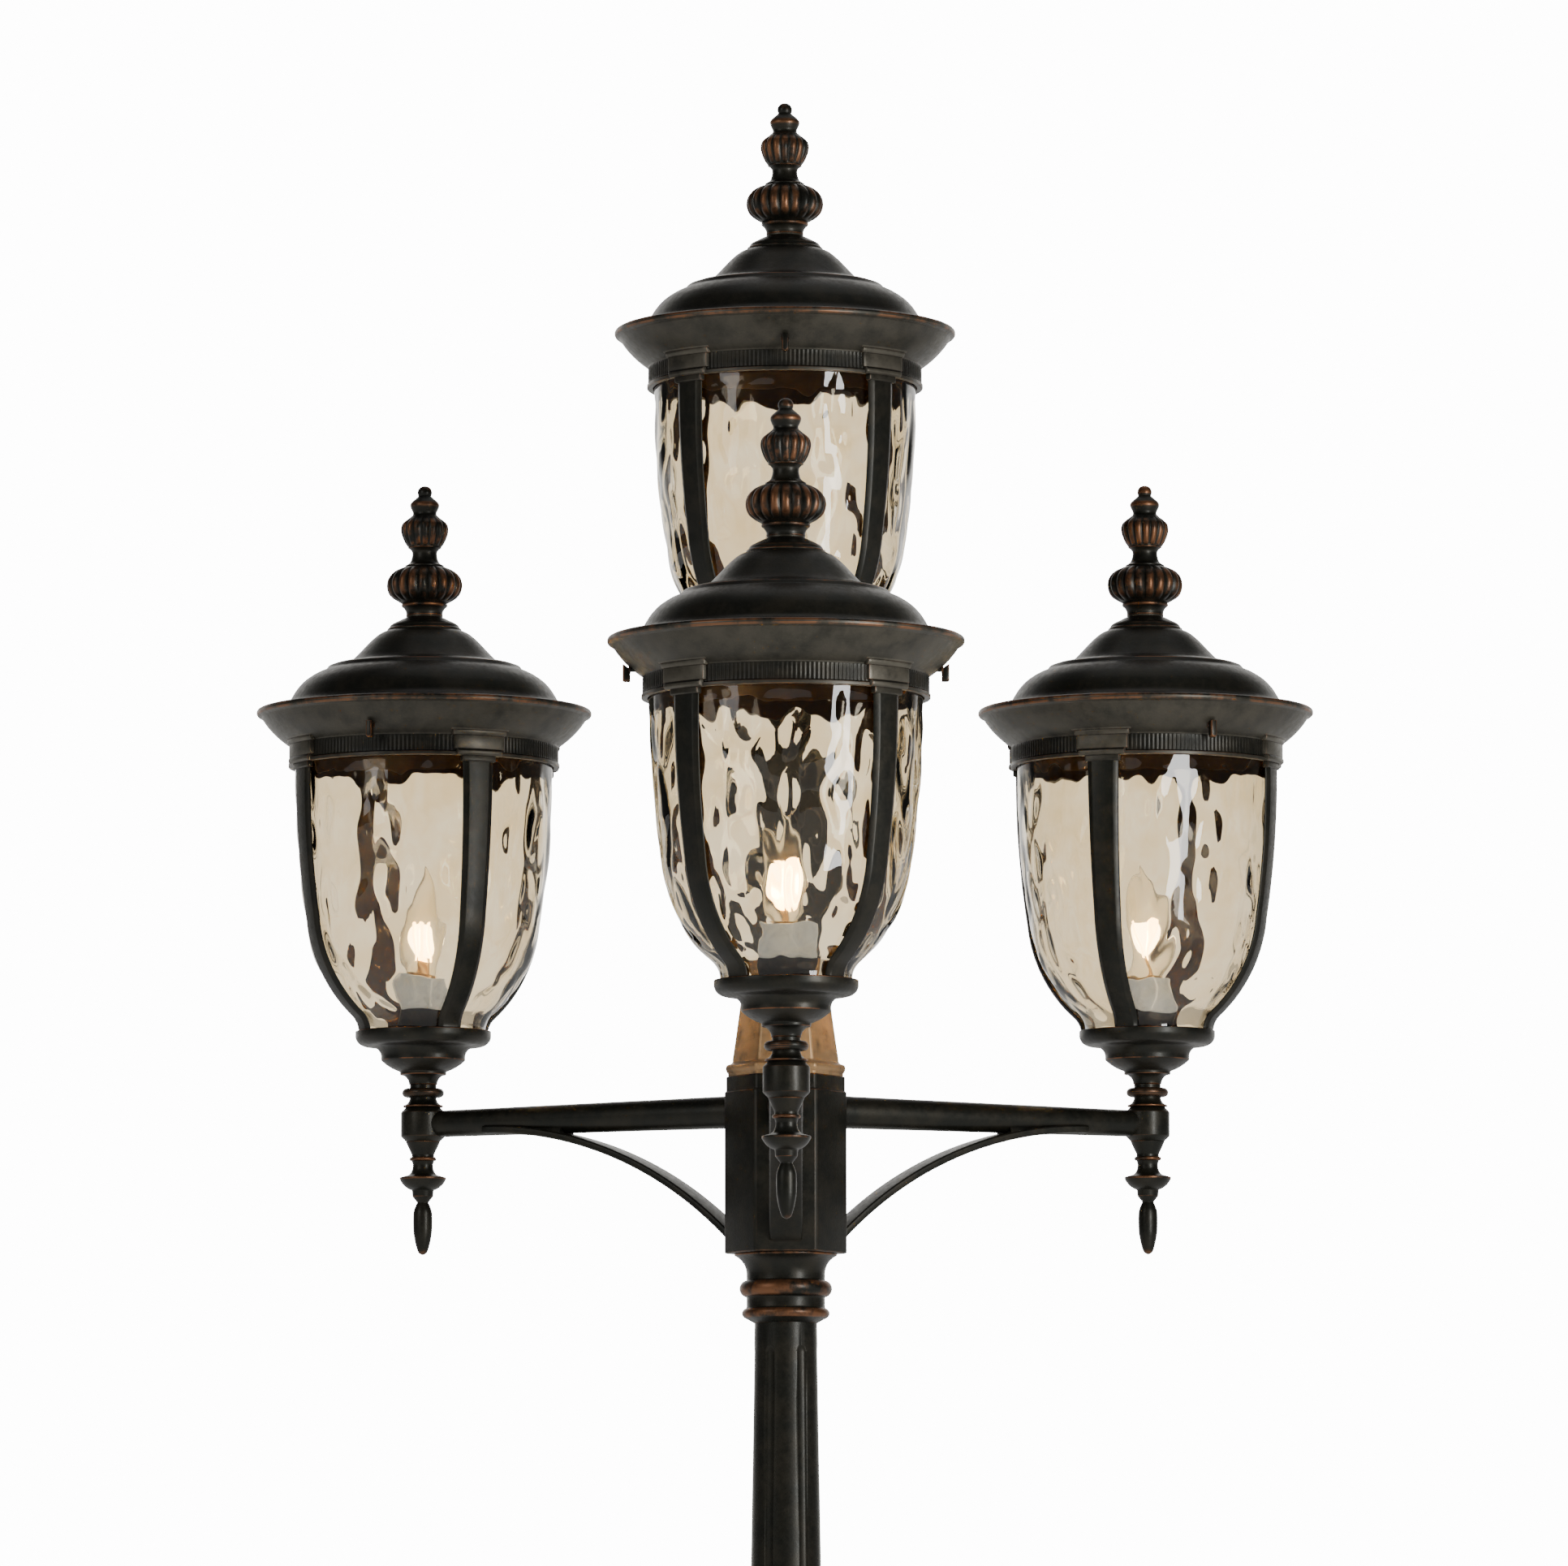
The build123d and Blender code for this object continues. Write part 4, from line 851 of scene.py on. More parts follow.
@dataclass
class Lantern:
    """One glass lantern, built in its own frame from its foot up."""

    shop: Workshop
    finishes: Finishes
    stem_height: float = 17.0
    cup_height: float = 40.0
    cup_floor: float = 33.0
    glass_height: float = 221.5
    glass_wall: float = 3.0
    glass_gap: float = 0.6
    glass_foot_r: float = 46.6
    glass_body_r: float = 88.9
    glass_lip_r: float = 97.2
    rib_height: float = 199.0
    rib_depth: float = 3.4
    rib_top: float = 24.6
    rib_foot: float = 18.5
    band_height: float = 16.7
    ovolo_height: float = 15.9
    ovolo_r: float = 119.2
    seam_width: float = 3.0
    dome_height: float = 83.0
    screw_drop: float = 11.4
    husk_height: float = 20.0
    cap_rise: float = 23.4
    bulb_rise: float = 48.4
    bulb_wall: float = 0.8
    lamp_rise: float = 28.0
    first_strap: float = 45.0
    cage_rub: tuple[float, ...] = (0.25, 0.0, 0.25, 0.25, 0.2, 0.25, 0.2, 0.1)
    # share of paler grey with painted sheen for each cage mesh, crown first
    cage_sheen: tuple[float, ...] = (0.55, 0.0, 1.0, 1.0, 0.9, 0.9, 0.4, 0.0)

    @property
    def cup_top(self) -> float:
        """Height of the cup's rim over the foot."""
        return self.stem_height + self.cup_height

    @property
    def glass_foot(self) -> float:
        """Height of the glass's foot."""
        return self.stem_height + self.cup_floor

    @property
    def glass_lip(self) -> float:
        """Height of the glass's lip."""
        return self.glass_foot + self.glass_height

    @property
    def band_foot(self) -> float:
        """Height of the crown band's lower edge."""
        return self.cup_top + self.rib_height

    @property
    def band_top(self) -> float:
        """Height of the crown band's upper edge."""
        return self.band_foot + self.band_height

    @property
    def cage_top(self) -> float:
        """Height at which the roof sits on the cage."""
        return self.band_top + self.ovolo_height

    @property
    def roof_top(self) -> float:
        """Height of the finial's seat."""
        return self.cage_top + self.dome_height

    @property
    def crown_r(self) -> float:
        """Inner radius of the crown, clear of the glass."""
        return self.glass_lip_r + self.glass_gap

    @property
    def band_r(self) -> float:
        """Outer radius of the crown band."""
        return self.crown_r + self.rib_depth

    def glass_line(self, grow: float, steps: int) -> Outline:
        """The glass's outer line from foot to lip, moved outwards by grow."""
        foot_r, body_r, lip_r = (
            radius + grow for radius in (self.glass_foot_r, self.glass_body_r, self.glass_lip_r)
        )
        foot, lip = self.glass_foot, self.glass_lip
        line = Outline(foot_r, foot).line((foot_r, foot + 8.0))
        line.arc((foot_r + 2.1, foot + 14.6), (foot_r + 6.9, foot + 20.5), 6)
        line.arc((body_r - 12.9, foot + 48.5), (body_r, foot + 90.0), steps)
        line.arc((lip_r - 2.0, foot + 144.0), (lip_r, lip - 22.0), steps)
        return line.line((lip_r, lip - 11.0), (lip_r, lip))

    def stem(self) -> bpy.types.Mesh:
        """Turned neck with its disc ring."""
        line = Outline(0, 0).line((15.0, 0), (15.0, 1.2)).arc((11.2, 3.6), (10.0, 7.7))
        line.line((10.0, 8.4)).arc((15.8, 10.7), (10.0, 13.0)).line((10.0, 17.0), (0, 17.0))
        return Shaper.turned("stem", line.softened(0.5), 72)

    def cup(self) -> bpy.types.Mesh:
        """Moulded dish under the glass."""
        line = Outline(0, 0).line((10.6, 0)).arc((12.0, 4.4), (15.8, 7.2))
        line.line((17.4, 7.2), (17.4, 9.7)).arc((26.4, 14.0), (31.6, 18.2))
        line.line((31.6, 20.4)).arc((33.8, 26.0), (39.0, 28.4))
        line.line((43.4, 28.8)).arc((48.6, 31.0), (51.0, 35.6), 8)
        line.line((51.0, 40.0), (47.2, 40.0), (47.2, 33.0), (0, 33.0))
        return Shaper.turned("cup", line.raised(self.stem_height).softened(0.6))

    def glass(self) -> bpy.types.Mesh:
        """Rippled urn, a closed shell with its own wall."""
        outer = self.glass_line(0.0, 44)
        inner = self.glass_line(-self.glass_wall, 44)
        radii, levels = np.array(outer.points).T
        mesh = Shaper.turned("glass", outer.line(*inner.points[::-1]), 256, closed=True)
        x, y, z = Shaper.places(mesh)
        inside = np.hypot(x, y) < np.interp(z, levels, radii) - self.glass_wall * 0.4
        foot_fade = np.clip((z - self.cup_top) / 14.0, 0, 1)
        lip_fade = np.clip((self.glass_lip - 16.0 - z) / 10.0, 0, 1)
        Shaper.mask(mesh, "inside", inside)
        Shaper.mask(mesh, "ripple", foot_fade * lip_fade * np.where(inside, -1.0, 1.0))
        sizes = {"Scale": 50.0, "Depth": 0.0014, "Stretch": 0.47, "Seed": 3.0}
        return self.shop.relief(mesh, "rippled", self.finishes.champagne, **sizes)

    def strap(self) -> bpy.types.Mesh:
        """One strap round the glass: flat face, chamfered edges."""
        side_line = self.glass_line(self.glass_gap, 26).points
        inner = [
            (self.glass_foot_r + self.glass_gap, self.cup_top),
            *[point for point in side_line if self.cup_top < point[1] < self.band_foot],
            (self.crown_r, self.band_foot + 2.0),
        ]
        loops = []
        for index, (radius, height) in enumerate(inner):
            before, after = inner[max(0, index - 1)], inner[min(len(inner) - 1, index + 1)]
            run = Vector((after[0] - before[0], after[1] - before[1])).normalized()
            out_r, out_z = run.y * self.rib_depth, -run.x * self.rib_depth
            share = (height - self.cup_top) / self.rib_height
            half = 0.5 * (self.rib_foot + (self.rib_top - self.rib_foot) * share)
            face = half * 0.68
            rows = [(-half, 0.0), (half, 0.0), (half, 0.35), (face, 1.0), (-face, 1.0)]
            rows.append((-half, 0.35))
            loops.append([(radius + out_r * up, side, height + out_z * up) for side, up in rows])
        return self.shop.bevelled(Shaper.skinned("strap", loops), 0.5, 20.0)

    def curved_block(self, outline: Sequence[Point], width: float) -> bpy.types.Mesh:
        """Block whose face is concentric with the band and whose sides are parallel.

        Args:
            outline: radius and height of its face, from foot to top.
            width: its width across.

        Returns:
            The block, at turn 0.
        """
        section = [(self.crown_r, outline[0][1]), *outline, (self.crown_r, outline[-1][1])]
        steps = 14
        loops = []
        for step in range(steps + 1):
            side = width * (step / steps - 0.5)
            loops.append([(math.sqrt(reach**2 - side**2), side, level) for reach, level in section])
        return self.shop.bevelled(Shaper.skinned("block", loops), 0.45, 40.0)

    def capital(self) -> list[bpy.types.Mesh]:
        """Stepped capital over one strap, top tier first."""
        tiers = (
            (47.0, (4.2, 18.6), (5.6, 20.4), (5.8, 25.6)),
            (43.0, (2.4, 14.8), (3.4, 15.6), (4.0, 17.4), (4.0, 18.8)),
            (40.0, (2.8, 4.6), (2.8, 15.0)),
            (36.0, (2.2, -0.2), (3.8, 1.2), (3.8, 3.2), (2.9, 4.8)),
            (27.0, (0.4, -4.6), (1.2, -3.6), (1.2, 0.0)),
        )
        blocks = []
        for width, *face in tiers:
            outline = [(self.band_r + out, self.band_foot + rise) for out, rise in face]
            blocks.append(self.curved_block(outline, width))
        return blocks

    def crown(self) -> bpy.types.Mesh:
        """Crown ring from the band's foot to the seam under the roof."""
        foot, top, seat = self.band_foot, self.band_top, self.cage_top
        ring, back, seam = self.band_r, self.crown_r, (self.ovolo_r, self.cage_top)
        line = Outline(back, foot).line((ring + 0.9, foot), (ring + 0.9, foot + 2.6))
        line.line((ring - 0.6, foot + 2.9), (ring - 0.6, top - 2.0), (ring, top - 0.5))
        line.arc(((ring + self.ovolo_r) / 2 + 0.9, (top + seat) / 2 - 0.9), seam, 14)
        line.line((self.ovolo_r - self.seam_width, seat), (back, top + 1.3))
        return Shaper.turned("crown", line.softened(0.35, sharp=[seam]), 128, closed=True)

    def knurl(self) -> bpy.types.Mesh:
        """Knurled face of the crown's band."""
        foot, top, ring = self.band_foot, self.band_top, self.band_r
        rows = 6
        band = Outline(ring - 0.7, foot + 2.7)
        for row in range(rows + 1):
            band.line((ring + 0.1, foot + 3.3 + row * (top - foot - 5.0) / rows))
        band.line((ring - 0.7, top - 1.2))
        mesh = Shaper.turned("band", band, 1000)
        level = Shaper.places(mesh)[2]
        deep = np.minimum(level - foot - 2.9, top - 1.4 - level) / 1.2
        Shaper.mask(mesh, "reed", np.clip(deep, 0, 1))
        return self.shop.relief(mesh, "reeded", self.finishes.bronze, Count=200, Depth=0.0006)

    def cage(self) -> list[bpy.types.Mesh]:
        """Crown ring with its knurled band, and four capitals and straps."""
        sizes = {"Count": 4, "First_turn": math.radians(self.first_strap)}
        return [self.crown(), self.knurl()] + [
            self.shop.relief(mesh, "ringed", self.finishes.bronze, **sizes)
            for mesh in (*self.capital(), self.strap())
        ]

    def roof(self) -> bpy.types.Mesh:
        """Stepped dome with its rolled eave and inner skirt."""
        seat_r = self.ovolo_r - self.seam_width
        line = Outline(seat_r, 0).line((self.ovolo_r, 0))
        line.line((122.6, 4.8), (123.6, 5.4), (125.5, 6.3), (126.2, 7.4), (126.2, 9.2))
        line.line((125.6, 10.2), (124.4, 10.9), (104.6, 13.7))
        lower = [(101.8, 16.4), (98.8, 21.6), (95.2, 27.0), (89.9, 32.5), (82.6, 37.4), (76.4, 40.2)]
        line.flow(*lower).line((74.6, 40.9), (72.4, 43.7))
        line.flow((66.0, 45.6), (58.2, 46.6)).line((56.4, 47.2))
        upper = [(53.4, 49.6), (48.8, 54.3), (44.4, 59.0), (39.6, 63.9), (34.0, 68.5), (29.6, 70.6)]
        line.flow(*upper).line((28.2, 71.0), (28.0, 72.4), (26.6, 73.4))
        line.flow((25.0, 75.8), (19.7, 78.6), (15.6, 80.6))
        line.line((13.8, 81.2), (13.8, 83.0), (0, 83.0), (0, 71.6), (23.7, 68.0))
        line.flow((37.8, 61.6), (45.2, 54.0), (55.0, 44.0), steps=3)
        line.line((68.8, 41.1), (72.6, 37.3))
        line.flow((86.3, 31.0), (92.4, 24.6), steps=3)
        line.line((92.4, -17.0), (95.0, -17.0), (95.0, 20.6))
        line.flow((99.2, 14.0), (105.1, 10.4), (seat_r, 8.0), steps=3)
        line = line.raised(self.cage_top).softened(0.5, 16.0, [(self.ovolo_r, self.cage_top)])
        return Shaper.turned("roof", line, 128, closed=True)

    def finial(self) -> bpy.types.Mesh:
        """Turned finial with two reeded bulbs."""
        line = Outline(0, 0).line((13.8, 0))
        line.flow((13.9, 2.4), (15.4, 5.2), (17.0, 6.6), (17.4, 7.8), (16.8, 9.0), steps=4)
        line.flow(
            (18.4, 9.8), (23.0, 12.4), (26.2, 15.2), (28.0, 19.0), (28.5, 23.4),
            (27.4, 28.0), (24.6, 31.8), (20.4, 34.6), (15.2, 36.6),
        )
        line.line((14.6, 37.0), (14.6, 37.8))
        line.flow((11.6, 39.6), (10.2, 42.0), (9.4, 45.6), (9.6, 48.4), (11.2, 50.4), steps=4)
        line.line((12.6, 51.2), (12.6, 52.0))
        line.flow(
            (14.4, 54.4), (16.2, 58.0), (17.6, 62.4), (17.9, 66.0),
            (17.0, 69.4), (14.6, 71.9), (11.6, 74.0), (10.6, 75.0),
        )
        line.flow(
            (9.2, 76.2), (9.0, 78.2), (10.0, 80.4), (11.0, 83.2),
            (10.6, 85.2), (8.6, 87.4), (6.4, 89.2), (4.8, 90.8), steps=4,
        )
        line.arc((5.5, 93.4), (0, 98.4))
        mesh = Shaper.turned("finial", line.raised(self.roof_top), 240)
        for low, high, count, depth in ((10.2, 36.2, 20, 0.0024), (52.4, 73.6, 16, 0.0017)):
            share = (Shaper.places(mesh)[2] - self.roof_top - low) / (high - low)
            Shaper.mask(mesh, "reed", np.sin(math.pi * np.clip(share, 0, 1)) ** 0.45)
            mesh = self.shop.relief(mesh, "reeded", self.finishes.bronze, Count=count, Depth=depth)
        return mesh

    def thumbscrew(self, sign: int) -> list[bpy.types.Mesh]:
        """Screw shank and the tab that hangs under the eave, towards y."""
        level = self.cage_top - self.screw_drop
        line = Outline(0, 95.4).line((1.6, 95.4), (1.95, 95.9), (1.95, 109.6))
        line.line((3.1, 109.6), (3.1, 111.0), (0, 111.0))
        shank = Shaper.turned("shank", line.softened(0.2), 28)
        shank.transform(Matrix.Rotation(math.radians(-90 * sign), 4, "X"))
        shank.transform(Matrix.Translation((0, 0, level * MM)))
        rows = (
            (109.9, -9.2, 0.0, 2.0),
            (110.6, -9.2, 0.4, 2.5),
            (114.0, -9.2, 2.8, 2.5),
            (115.3, -8.4, 3.6, 2.0),
        )
        loops = []
        for radius, low, high, half in rows:
            cut = min(1.2, half * 0.5)
            right = [(half - cut, low), (half, low + cut), (half, high)]
            left = [(cut - half, low), *right, (-half, high), (-half, low + cut)]
            loops.append([(side, sign * radius, level + rise) for side, rise in left])
        return [shank, self.shop.bevelled(Shaper.skinned("tab", loops), 0.5, 25.0)]

    def husk(self) -> bpy.types.Mesh:
        """Dark cup under the lampholder."""
        line = Outline(0, 0).line((15, 0), (15, 3)).arc((18.7, 8.2), (20, 15))
        line.line((20, self.husk_height), (0, self.husk_height))
        return Shaper.turned("husk", line.raised(self.glass_foot).softened(0.6), 64)

    def socket(self) -> bpy.types.Mesh:
        """Porcelain lampholder."""
        line = Outline(0, 0).line((19, 0), (19, 26), (13.1, 26), (13.1, 3), (0, 3))
        line.raised(self.glass_foot + self.husk_height)
        return Shaper.turned("socket", line.softened(1.4), 64)

    def bulb_cap(self) -> bpy.types.Mesh:
        """Screw shell with its rolled thread, and the wire stem."""
        line = Outline(0, 0).line((5, 0), (5, 1.2), (11, 5))
        pitch = 3.6
        for turn in range(5):
            level = 6.0 + turn * pitch
            line.arc((13.0, level + pitch / 2), (12.0, level + pitch), 6)
        line.line((13.0, 25), (4.5, 25), (3.0, 29), (3.0, 36), (0, 36.6))
        return Shaper.turned("cap", line.raised(self.glass_foot + self.cap_rise), 64)

    def bulb(self) -> bpy.types.Mesh:
        """Thin envelope with its flame tip, closed as a shell."""
        line = Outline(12.2, 0)
        line.flow(
            (13.4, 5), (16.2, 16), (17.3, 28), (16.4, 40), (13.2, 52),
            (9.2, 62), (5.6, 71), (3.0, 77.5), (1.2, 81.6), (0, 83.6), steps=4,
        )
        inner_top = 81.4
        wall = [(max(0.0, r - self.bulb_wall), min(level, inner_top)) for r, level in line.points]
        line.line(*wall[::-1]).raised(self.glass_foot + self.bulb_rise)
        return Shaper.turned("bulb", line, 64, closed=True)

    def filament(self) -> list[bpy.types.Mesh]:
        """Four glowing rods that stand on the wire stem."""
        rod = Outline(0, 11).line((1.5, 11.8), (1.5, 42.2), (0, 43))
        mesh = Shaper.turned("rod", rod.raised(self.glass_foot + self.bulb_rise), 12)
        mesh.transform(Matrix.Translation((5.4 * MM, 0, 0)))
        return [self.shop.relief(mesh, "ringed", self.finishes.filament, Count=4, First_turn=0.4)]

    def parts(self) -> list[Part]:
        """Makes every piece once, in the lantern's own frame."""
        fin, dark = self.finishes, (self.finishes.bronze, Slot.BRONZE)
        post, lid, lamp = Body.POST, Body.ROOF, Body.BULB
        return [
            Part("stem_dressed", "stem", [self.stem()], *dark, post),
            Part("cup_dressed", "cup", [self.cup()], *dark, post),
            Part("glass_rippled", "glass", [self.glass()], fin.champagne, Slot.AMBER_GLASS, post),
            Part("cage_dressed", "cage", self.cage(), *dark, post, self.cage_rub, self.cage_sheen),
            Part("husk_dressed", "husk", [self.husk()], fin.husk, Slot.BRONZE, post),
            Part("socket_glazed", "socket", [self.socket()], fin.porcelain, Slot.PORCELAIN, post),
            # the roof gets paler grey with painted sheen on faces that don't look up
            Part("roof_dressed", "roof", [self.roof()], *dark, lid, (1.3,), (0.55,)),
            Part("finial_reeded", "finial", [self.finial()], *dark, lid, (1.8,)),
            Part("cap_threaded", "bulb_cap", [self.bulb_cap()], fin.brass, Slot.CAP_METAL, lamp),
            Part("bulb_envelope", "bulb", [self.bulb()], fin.clear, Slot.CLEAR_GLASS, lamp),
            Part("filament", "", self.filament(), fin.filament, Slot.CLEAR_GLASS, lamp),
            Part("thumbscrew_a_dressed", "thumbscrew_a", self.thumbscrew(1), *dark, Body.SCREW_A),
            Part("thumbscrew_b_dressed", "thumbscrew_b", self.thumbscrew(-1), *dark, Body.SCREW_B),
        ]

    def build(self, seats: dict[str, Seat]) -> None:
        """Builds every piece once and places a copy at each seat.

        Args:
            seats: lantern name to its place.
        """
        parts = self.parts()
        for lantern, seat in seats.items():
            for part in parts:
                nodes = [f"{lantern}_{part.node}"] if part.node else ()
                name, body = f"{lantern}_{part.name}", part.body.of(lantern)
                kind = (part.meshes, part.material, part.slot, body)
                self.shop.piece(name, *kind, nodes, seat.matrix(), part.rub, part.pale)


@dataclass
class Standard:
    """Post, base, neck collar, hub and riser."""

    shop: Workshop
    finishes: Finishes
    hub_z: float = 1684.0
    hub_height: float = 130.0
    hub_flats: float = 78.8
    hub_bevel: float = 2.6
    riser_height: float = 254.0
    riser_foot: float = 38.7
    riser_waist: float = 34.3
    riser_top: float = 15.7
    collar_height: float = 51.0
    post_foot_r: float = 45.0
    post_top_r: float = 22.9
    post_seat: float = 230.0
    post_foot: float = 300.0
    flute_count: int = 6
    flute_depth: float = 1.4
    flute_half: float = 3.5
    flute_spread: float = 9.4
    flute_margin: float = 17.0
    flute_tip: float = 5.0

    @property
    def hub_top(self) -> float:
        """Height of the hub's upper face, where the riser stands."""
        return self.hub_z + self.hub_height

    @staticmethod
    def hexagon(apothem: float, bevel: float, height: float) -> list[tuple[float, float, float]]:
        """Six-sided loop with cut corners and a flat side towards -Y."""
        corner = apothem / math.cos(math.pi / 6)
        back = bevel / 2 / math.tan(math.pi / 3)
        loop = []
        for side in range(6):
            angle = math.radians(60 * side)
            spot = Vector((math.cos(angle), math.sin(angle))) * (corner - back)
            for turn in (-1, 1):
                along = Vector((-math.sin(angle), math.cos(angle))) * bevel * turn * 0.5
                loop.append((spot.x + along.x, spot.y + along.y, height))
        return loop

    def hub(self) -> bpy.types.Mesh:
        """Hub casting with narrow bevels and an inset top band."""
        half, base, top = self.hub_flats / 2, self.hub_z, self.hub_top
        rows = (
            (half - 0.8, base),
            (half, base + 0.8),
            (half, top - 11.6),
            (half - 1.0, top - 11.0),
            (half - 1.0, top - 0.6),
            (half - 1.6, top),
        )
        loops = [self.hexagon(apothem, self.hub_bevel, height) for apothem, height in rows]
        return self.shop.bevelled(Shaper.skinned("hub", loops), 0.5, 25.0)

    def riser(self) -> bpy.types.Mesh:
        """Concave six-sided riser with its bead."""
        foot, waist, top, bead = self.riser_foot, self.riser_waist, self.riser_top, 12.2
        line = Outline(foot - 1.5, 0).line((foot - 1.5, 2.2)).arc((foot, 5.5), (foot - 0.6, 8.25), 8)
        line.line((waist + 2.2, 9.0)).arc((waist + 0.4, 10.0), (waist, bead), 4)
        steps = 30
        for step in range(1, steps + 1):
            share = step / steps
            radius = top + (waist - top) * (1 - share) ** 1.72
            line.line((radius, bead + (self.riser_height - bead) * share))
        loops = []
        for radius, height in line.raised(self.hub_top).points:
            loops.append(self.hexagon(radius, max(1.4, self.hub_bevel * radius / foot), height))
        return self.shop.bevelled(Shaper.skinned("riser", loops), 0.35, 25.0)

    def collar(self) -> bpy.types.Mesh:
        """Turned neck with its two rings."""
        high = self.collar_height
        line = Outline(0, 0).line((23.1, 0), (29.7, 3.6)).arc((32.2, 7.2), (29.2, 10.8), 8)
        line.line((28.8, 12.0), (28.8, 19.0)).arc((34.0, 25.2), (28.8, 31.4), 12)
        line.line((28.8, 36.0)).arc((31.6, 44.6), (37.7, 49.5)).line((37.7, high), (0, high))
        return Shaper.turned("collar", line.raised(self.hub_z - high).softened(0.5))

    def post(self) -> bpy.types.Mesh:
        """Tapering shaft with shallow flutes that end in round tips."""
        foot, top, tip = self.post_foot, self.hub_z - self.collar_height, self.flute_tip
        low, high = foot + self.flute_margin, top - self.flute_margin
        spread, sector = math.radians(self.flute_spread), math.tau / self.flute_count
        angles: list[float] = []
        for flute in range(self.flute_count):
            middle = math.tau * flute / self.flute_count
            angles += [middle + spread * share for share in np.linspace(-1, 1, 15)]
            gap = sector - 2 * spread
            angles += [middle + spread + gap * share for share in np.linspace(0, 1, 10)[1:-1]]
        tips = np.linspace(0, tip, 9)
        run = np.linspace(low + tip, high - tip, 40).tolist()
        levels = {self.post_seat, foot, top, *(low + tips).tolist(), *(high - tips).tolist(), *run}
        loops = []
        for level in sorted(levels):
            share = max(0.0, (level - foot) / (top - foot))
            radius = self.post_foot_r + (self.post_top_r - self.post_foot_r) * share
            near = max(0.0, min(1.0, (level - low) / tip, (high - level) / tip))
            width = math.sqrt(1 - (1 - near) ** 2)
            loop = []
            for angle in angles:
                across = radius * abs(angle - round(angle / sector) * sector) / self.flute_half
                cut = radius
                if across < width:
                    cut -= self.flute_depth * width * math.sqrt(1 - (across / width) ** 2)
                loop.append((cut * math.cos(angle), cut * math.sin(angle), level))
            loops.append(loop)
        return Shaper.skinned("post", loops)

    def build(self) -> None:
        """Builds and places the standard's pieces."""
        bronze = self.finishes.bronze
        for name, node, mesh, material, rub in (
            ("hub_dressed", "hub", self.hub(), bronze, 0.4),
            ("riser_dressed", "riser", self.riser(), self.finishes.riser, 0.6),
            ("neck_collar_dressed", "neck_collar", self.collar(), bronze, 3.2),
            ("post_fluted", "post", self.post(), bronze, 0.25),
        ):
            self.shop.piece(name, [mesh], material, Slot.BRONZE, Body.POST.value, [node], rub=(rub,))
        for node, material in (("base", bronze), ("nipples", self.finishes.zinc)):
            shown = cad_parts[node]
            shown.data.materials.clear()
            shown.data.materials.append(material)


